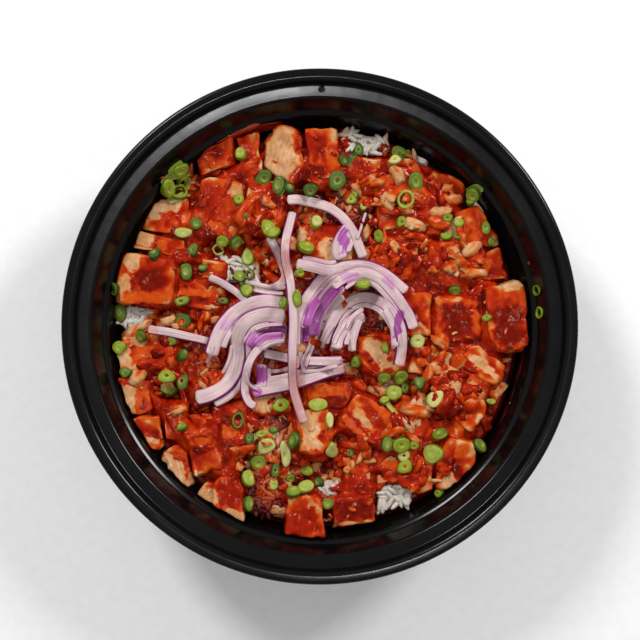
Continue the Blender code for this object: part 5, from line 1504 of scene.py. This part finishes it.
class RICEBOWL_OT_onion(bpy.types.Operator):
    """Makes the onion strips, each one where its node lies"""

    bl_idname = "ricebowl.onion"
    bl_label = "Red onion"

    def execute(self, context):
        settings = context.scene.ricebowl_onion
        material = sliced_onion(settings)
        rng = random.Random(SEED + 5)
        for name, strips in ONIONS.items():
            shape = Shape()
            for strip in strips:
                self.add_strip(shape, name, strip, settings, rng, 0.0)
                if strip[0] > SINGLE_WIDTH:
                    self.add_strip(shape, name, strip, settings, rng, INNER_ASIDE)
            shape.put(name + "_slice", material, [name])
        self.add_slivers(material, rng)
        return {"FINISHED"}

    def add_slivers(self, material, rng):
        """Thin slivers that lie on whatever is below them, among the strips."""
        relief = Relief(("chicken", "sauce_between", "rice", "onion"))
        shape = Shape()
        for width, skin_side, places in SLIVERS:
            curve = smooth_path(places, STRIP_SPACING)
            heights = np.array([relief.surface(point, 0.8)[0] for point in curve])
            heights = np.minimum(softened(heights, 10) + 0.3, SLIVER_CEILING)
            self.add_layer(shape, curve, heights, width, SLIVER_THICKNESS, skin_side, rng.uniform(0, 6))
        shape.put("onion_slivers", material)

    def node_heights(self, name, curve):
        """The height of the top of a node under each point of a line, cast down from above."""
        solid = frame["nodes"][name]
        heights = []
        for x, y in curve:
            hit, place, _, _ = solid.ray_cast(Vector((x * METRE, y * METRE, 0.1)), Vector((0.0, 0.0, -1.0)))
            heights.append(place.z / METRE if hit else np.nan)
        heights = np.array(heights)
        known = np.flatnonzero(~np.isnan(heights))
        return np.interp(np.arange(len(heights)), known, heights[known])

    def add_strip(self, shape, name, strip, settings, rng, aside):
        """One strip: its profile carried along the line at the height of its node, rolling a little, with the
        skin's purple along one side. An inner layer lies aside of it by a share of the width, on the hollow
        side of the bend, and a little lower."""
        width, skin_side, places = strip
        curve = smooth_path(places, STRIP_SPACING)
        top = self.node_heights(name, curve) - settings.thickness / 2
        if aside:
            chord = curve[-1] - curve[0]
            bow = curve[len(curve) // 2] - (curve[0] + curve[-1]) / 2
            inside = -1.0 if bow @ np.array([-chord[1], chord[0]]) > 0 else 1.0
            trim = max(3, len(curve) // 9)
            curve = (curve + left_of(curve) * inside * aside * width)[trim:-trim]
            top = top[trim:-trim] - INNER_DROP
            width = 0.5 * width
            skin_side = -inside
        phase = rng.uniform(0, 6)
        self.add_layer(shape, curve, softened(top, 14), width, settings.thickness * 0.92, skin_side, phase)

    def add_layer(self, shape, curve, heights, width, thickness, skin_side, phase):
        """A rounded profile carried along a line, with fine grooves and the colour of its skin side."""
        steps = np.arange(len(curve))
        roll = 0.2 * np.sin(steps / 19 + phase) + 0.1 * np.sin(steps / 7 + 2 * phase)
        points, faces, side, along = carried_profile(
            curve, heights, width, thickness, roll, 0.06 * width, STRIP_COLUMNS)
        ripple = noise(np.column_stack([along * 0.12, side * width * 0.9 + phase, side * 0]), 1.0, 51)
        groove = smooth_step(1.0 - np.abs(side - 0.25 * math.cos(phase)) / 0.3) * (width > 3.0)
        points[:, 2] += 0.16 * ripple - 0.16 * groove
        if skin_side == FACE_UP:
            skin = 0.72 * smooth_step((0.97 - np.abs(side)) / 0.2) + 0.12 * ripple
        else:
            edge = smooth_step((side * skin_side - 0.62) / 0.3) * abs(skin_side)
            edge = np.maximum(edge, 0.55 * smooth_step((np.abs(side) - 0.8) / 0.18))
            skin = edge + 0.1 + 0.2 * ripple
        skin = painted(skin, points, PURPLE_PATCHES, 52)
        tint = painted(np.zeros(len(points)), points, TINT_PATCHES, 53)
        vein = np.column_stack([along * 0.12, side * width * 1.1, np.full(len(points), phase)])
        shape.add(points, faces, skin=skin, sauce=np.clip(tint, 0, 1), vein=vein)


class RICEBOWL_OT_scallions(bpy.types.Operator):
    """Makes the scallion slices, rings and leaves that lie on everything else"""

    bl_idname = "ricebowl.scallions"
    bl_label = "Scallions"

    def execute(self, context):
        settings = context.scene.ricebowl_scallion
        material = sliced_scallion(settings)
        relief = Relief(("chicken", "sauce_between", "rice", "onion"))
        rng = random.Random(SEED + 6)
        self.make_slices(material, relief, settings, rng)
        self.make_rings(material, relief, settings, rng)
        self.make_leaves(material, relief, rng)
        return {"FINISHED"}

    def slice_profile(self, rng):
        """Radius and height of a slice from the axis below to the axis above: the outer layer's rim, a groove
        and the dome of the inner layers."""
        hollow = rng.choice([0.4, 0.2, 0.0, -0.2])
        return np.array([
            (0.0, -0.5), (0.7, -0.5), (0.92, -0.42), (1.0, -0.2), (1.0, 0.1), (0.95, 0.3), (0.84, 0.43),
            (0.72, 0.46), (0.62, 0.44), (0.5, 0.48), (0.36, 0.5), (0.2, hollow), (0.0, hollow - 0.04),
        ])

    def add_slice(self, shape, body, centre, axes, sizes, tone):
        """A turned body stretched to the slice's width, depth and thickness and laid on its host."""
        points, faces = body
        radius = np.hypot(points[:, 0], points[:, 1])
        bend = 0.34 * noise(points * 0.8 + centre, 0.9, 61)
        layer = 0.4 * smooth_step((0.08 - abs(radius - 0.78)) / 0.06)
        rim = np.maximum(smooth_step((0.66 - radius) / 0.4), layer)
        tone = tone + np.where(points[:, 2] < 0.25, 0.3, 0.0) * smooth_step((radius - 0.9) / 0.1)
        stretched = points * np.array(sizes) / np.array([2, 2, 1]) * (1.0 + bend)[:, None]
        shape.add(stretched @ axes + centre, faces, tone=tone, rim=rim)

    def make_slices(self, material, relief, settings, rng):
        """The slices, each one laid on the slope that carries it."""
        shape = Shape()
        for x, y, width, depth, turn, tone in SCALLIONS:
            place = plan_point(x, y)
            height, normal = relief.surface(place, min(width, depth) * 0.4)
            normal = normal + np.array([rng.uniform(-0.3, 0.3), rng.uniform(-0.3, 0.3), 0.0])
            normal /= np.linalg.norm(normal)
            thickness = settings.thickness * rng.uniform(0.9, 1.6)
            centre = np.array([*place, height]) + normal * thickness * 0.3
            body = turned_body(self.slice_profile(rng), SLICE_SEGMENTS)
            self.add_slice(shape, body, centre, frame_of(normal, turn), (width, depth, thickness), tone)
        for spec in WALL_SCALLIONS:
            self.add_wall_ring(shape, *spec)
        shape.put("scallion_slices", material)

    def add_wall_ring(self, shape, x, y, size, tone):
        """An open ring stuck to the bowl's wall."""
        place = plan_point(x, y)
        unit = place / np.linalg.norm(place)
        radii, levels = zip(*reversed(INNER_PROFILE))
        radius = np.interp(WALL_RING_LEVEL, levels, radii)
        normal = np.array([-unit[0], -unit[1], UPPER_SLOPE])
        normal /= np.linalg.norm(normal)
        centre = np.array([unit[0] * radius, unit[1] * radius, WALL_RING_LEVEL]) + normal * 0.5
        profile = np.array([(1.0, -0.5), (1.0, 0.3), (0.92, 0.5), (0.78, 0.5), (0.7, 0.3), (0.7, -0.5)])
        body = ring_body(profile, RING_SEGMENTS)
        sizes = (size, 0.8 * size, WALL_RING_THICKNESS)
        self.add_slice(shape, body, centre, frame_of(normal, 0), sizes, tone)

    def make_rings(self, material, relief, settings, rng):
        """The open rings of the outer layer alone."""
        shape = Shape()
        profile = np.array([(1.0, -0.5), (1.0, 0.3), (0.94, 0.5), (0.78, 0.5), (0.72, 0.3), (0.72, -0.5)])
        for x, y, width, depth, tone in SCALLION_RINGS:
            place = plan_point(x, y)
            height, normal = relief.surface(place, min(width, depth) * 0.4)
            thickness = settings.thickness * rng.uniform(1.1, 1.4)
            centre = np.array([*place, height]) + normal * thickness * 0.35
            body = ring_body(profile, RING_SEGMENTS)
            self.add_slice(shape, body, centre, frame_of(normal, 0), (width, depth, thickness), tone)
        shape.put("scallion_rings", material)

    def make_leaves(self, material, relief, rng):
        """Flat leaf pieces: a thin rounded profile carried along a short line over what lies below."""
        shape = Shape()
        for width, tone, places in SCALLION_LEAVES:
            curve = smooth_path(places, LEAF_SPACING)
            heights = np.array([relief.surface(point, 1.0)[0] for point in curve])
            heights = softened(heights, 8) + 0.6
            roll = np.full(len(curve), rng.uniform(-0.4, 0.4))
            points, faces, side, _ = carried_profile(
                curve, heights, width, LEAF_THICKNESS, roll, -0.3, LEAF_COLUMNS)
            rim = 0.6 * smooth_step((np.abs(side) - 0.85) / 0.15)
            shape.add(points, faces, tone=tone + 0.1 * side, rim=rim)
        shape.put("scallion_leaves", material)


class RICEBOWL_OT_stage(bpy.types.Operator):
    """Makes the floor, the lamps and the camera"""

    bl_idname = "ricebowl.stage"
    bl_label = "Stage"

    def execute(self, context):
        settings = context.scene.ricebowl_stage
        self.make_floor(settings)
        self.make_light(context, settings)
        self.make_camera(context, settings)
        return {"FINISHED"}

    def make_floor(self, settings):
        """A wide level square at the bowl's base."""
        corners = [(-FLOOR_HALF, -FLOOR_HALF, 0), (FLOOR_HALF, -FLOOR_HALF, 0), (FLOOR_HALF, FLOOR_HALF, 0),
                   (-FLOOR_HALF, FLOOR_HALF, 0)]
        mesh = bpy.data.meshes.new("floor")
        mesh.from_pydata(corners, [], [(0, 1, 2, 3)])
        mesh.materials.append(white_card(settings))
        floor = bpy.data.objects.new("floor", mesh)
        bpy.context.scene.collection.objects.link(floor)

    def make_light(self, context, settings):
        """An even bright room, two small soft lamps behind the bowl and a smaller one nearly overhead."""
        world = bpy.data.worlds.new("room")
        world.use_nodes = True
        background = world.node_tree.nodes["Background"]
        background.inputs["Color"].default_value = (1.0, 1.0, 1.0, 1.0)
        background.inputs["Strength"].default_value = settings.sky
        context.scene.world = world
        for name, place, size, power in LAMPS:
            lamp = bpy.data.lights.new(name, "AREA")
            lamp.size = size
            lamp.energy = power * settings.lamp
            obj = bpy.data.objects.new(name, lamp)
            obj.location = place
            obj.rotation_euler = (-Vector(place)).to_track_quat("-Z", "Y").to_euler()
            obj.visible_camera = False
            context.scene.collection.objects.link(obj)
        context.scene.view_settings.view_transform = "Standard"

    def make_camera(self, context, settings):
        """The camera looks down on the rim from just short of straight above."""
        camera = bpy.data.cameras.new("camera")
        camera.lens = settings.lens
        camera.sensor_width = 36.0
        camera.clip_start = 0.01
        obj = bpy.data.objects.new("camera", camera)
        tilt = math.pi / 2 - settings.elevation
        back = settings.distance * Vector((0.0, -math.sin(tilt), math.cos(tilt)))
        obj.location = Vector(CAMERA_TARGET) + back
        obj.rotation_euler = (tilt, 0.0, 0.0)
        context.scene.collection.objects.link(obj)
        context.scene.camera = obj


class RICEBOWL_PT_panel(bpy.types.Panel):
    """Lists the steps that make the bowl of rice"""

    bl_idname = "RICEBOWL_PT_panel"
    bl_label = "Rice Bowl"
    bl_space_type = "VIEW_3D"
    bl_region_type = "UI"
    bl_category = "Rice Bowl"

    def draw(self, context):
        for name, group in SETTINGS.items():
            box = self.layout.box()
            settings = getattr(context.scene, name)
            for prop in group.__annotations__:
                box.prop(settings, prop)
        for operator in OPERATORS:
            self.layout.operator(operator.bl_idname)


SETTINGS = {
    "ricebowl_bowl": BowlSettings,
    "ricebowl_food": FoodSettings,
    "ricebowl_onion": OnionSettings,
    "ricebowl_scallion": ScallionSettings,
    "ricebowl_stage": StageSettings,
}
OPERATORS = (
    RICEBOWL_OT_bowl, RICEBOWL_OT_chicken, RICEBOWL_OT_rice, RICEBOWL_OT_sauce, RICEBOWL_OT_onion,
    RICEBOWL_OT_scallions, RICEBOWL_OT_stage,
)


def register():
    """Registers the classes and puts the settings on the scene."""
    for cls in (*SETTINGS.values(), *OPERATORS, RICEBOWL_PT_panel):
        bpy.utils.register_class(cls)
    for name, group in SETTINGS.items():
        setattr(bpy.types.Scene, name, bpy.props.PointerProperty(type=group))


def unregister():
    """Takes the settings off the scene and unregisters the classes."""
    for name in SETTINGS:
        delattr(bpy.types.Scene, name)
    for cls in reversed((*SETTINGS.values(), *OPERATORS, RICEBOWL_PT_panel)):
        bpy.utils.unregister_class(cls)


def main():
    """Makes every piece in order."""
    register()
    bpy.ops.ricebowl.bowl()
    bpy.ops.ricebowl.chicken()
    bpy.ops.ricebowl.rice()
    bpy.ops.ricebowl.sauce()
    bpy.ops.ricebowl.onion()
    bpy.ops.ricebowl.scallions()
    bpy.ops.ricebowl.stage()


if __name__ == "__main__":
    main()
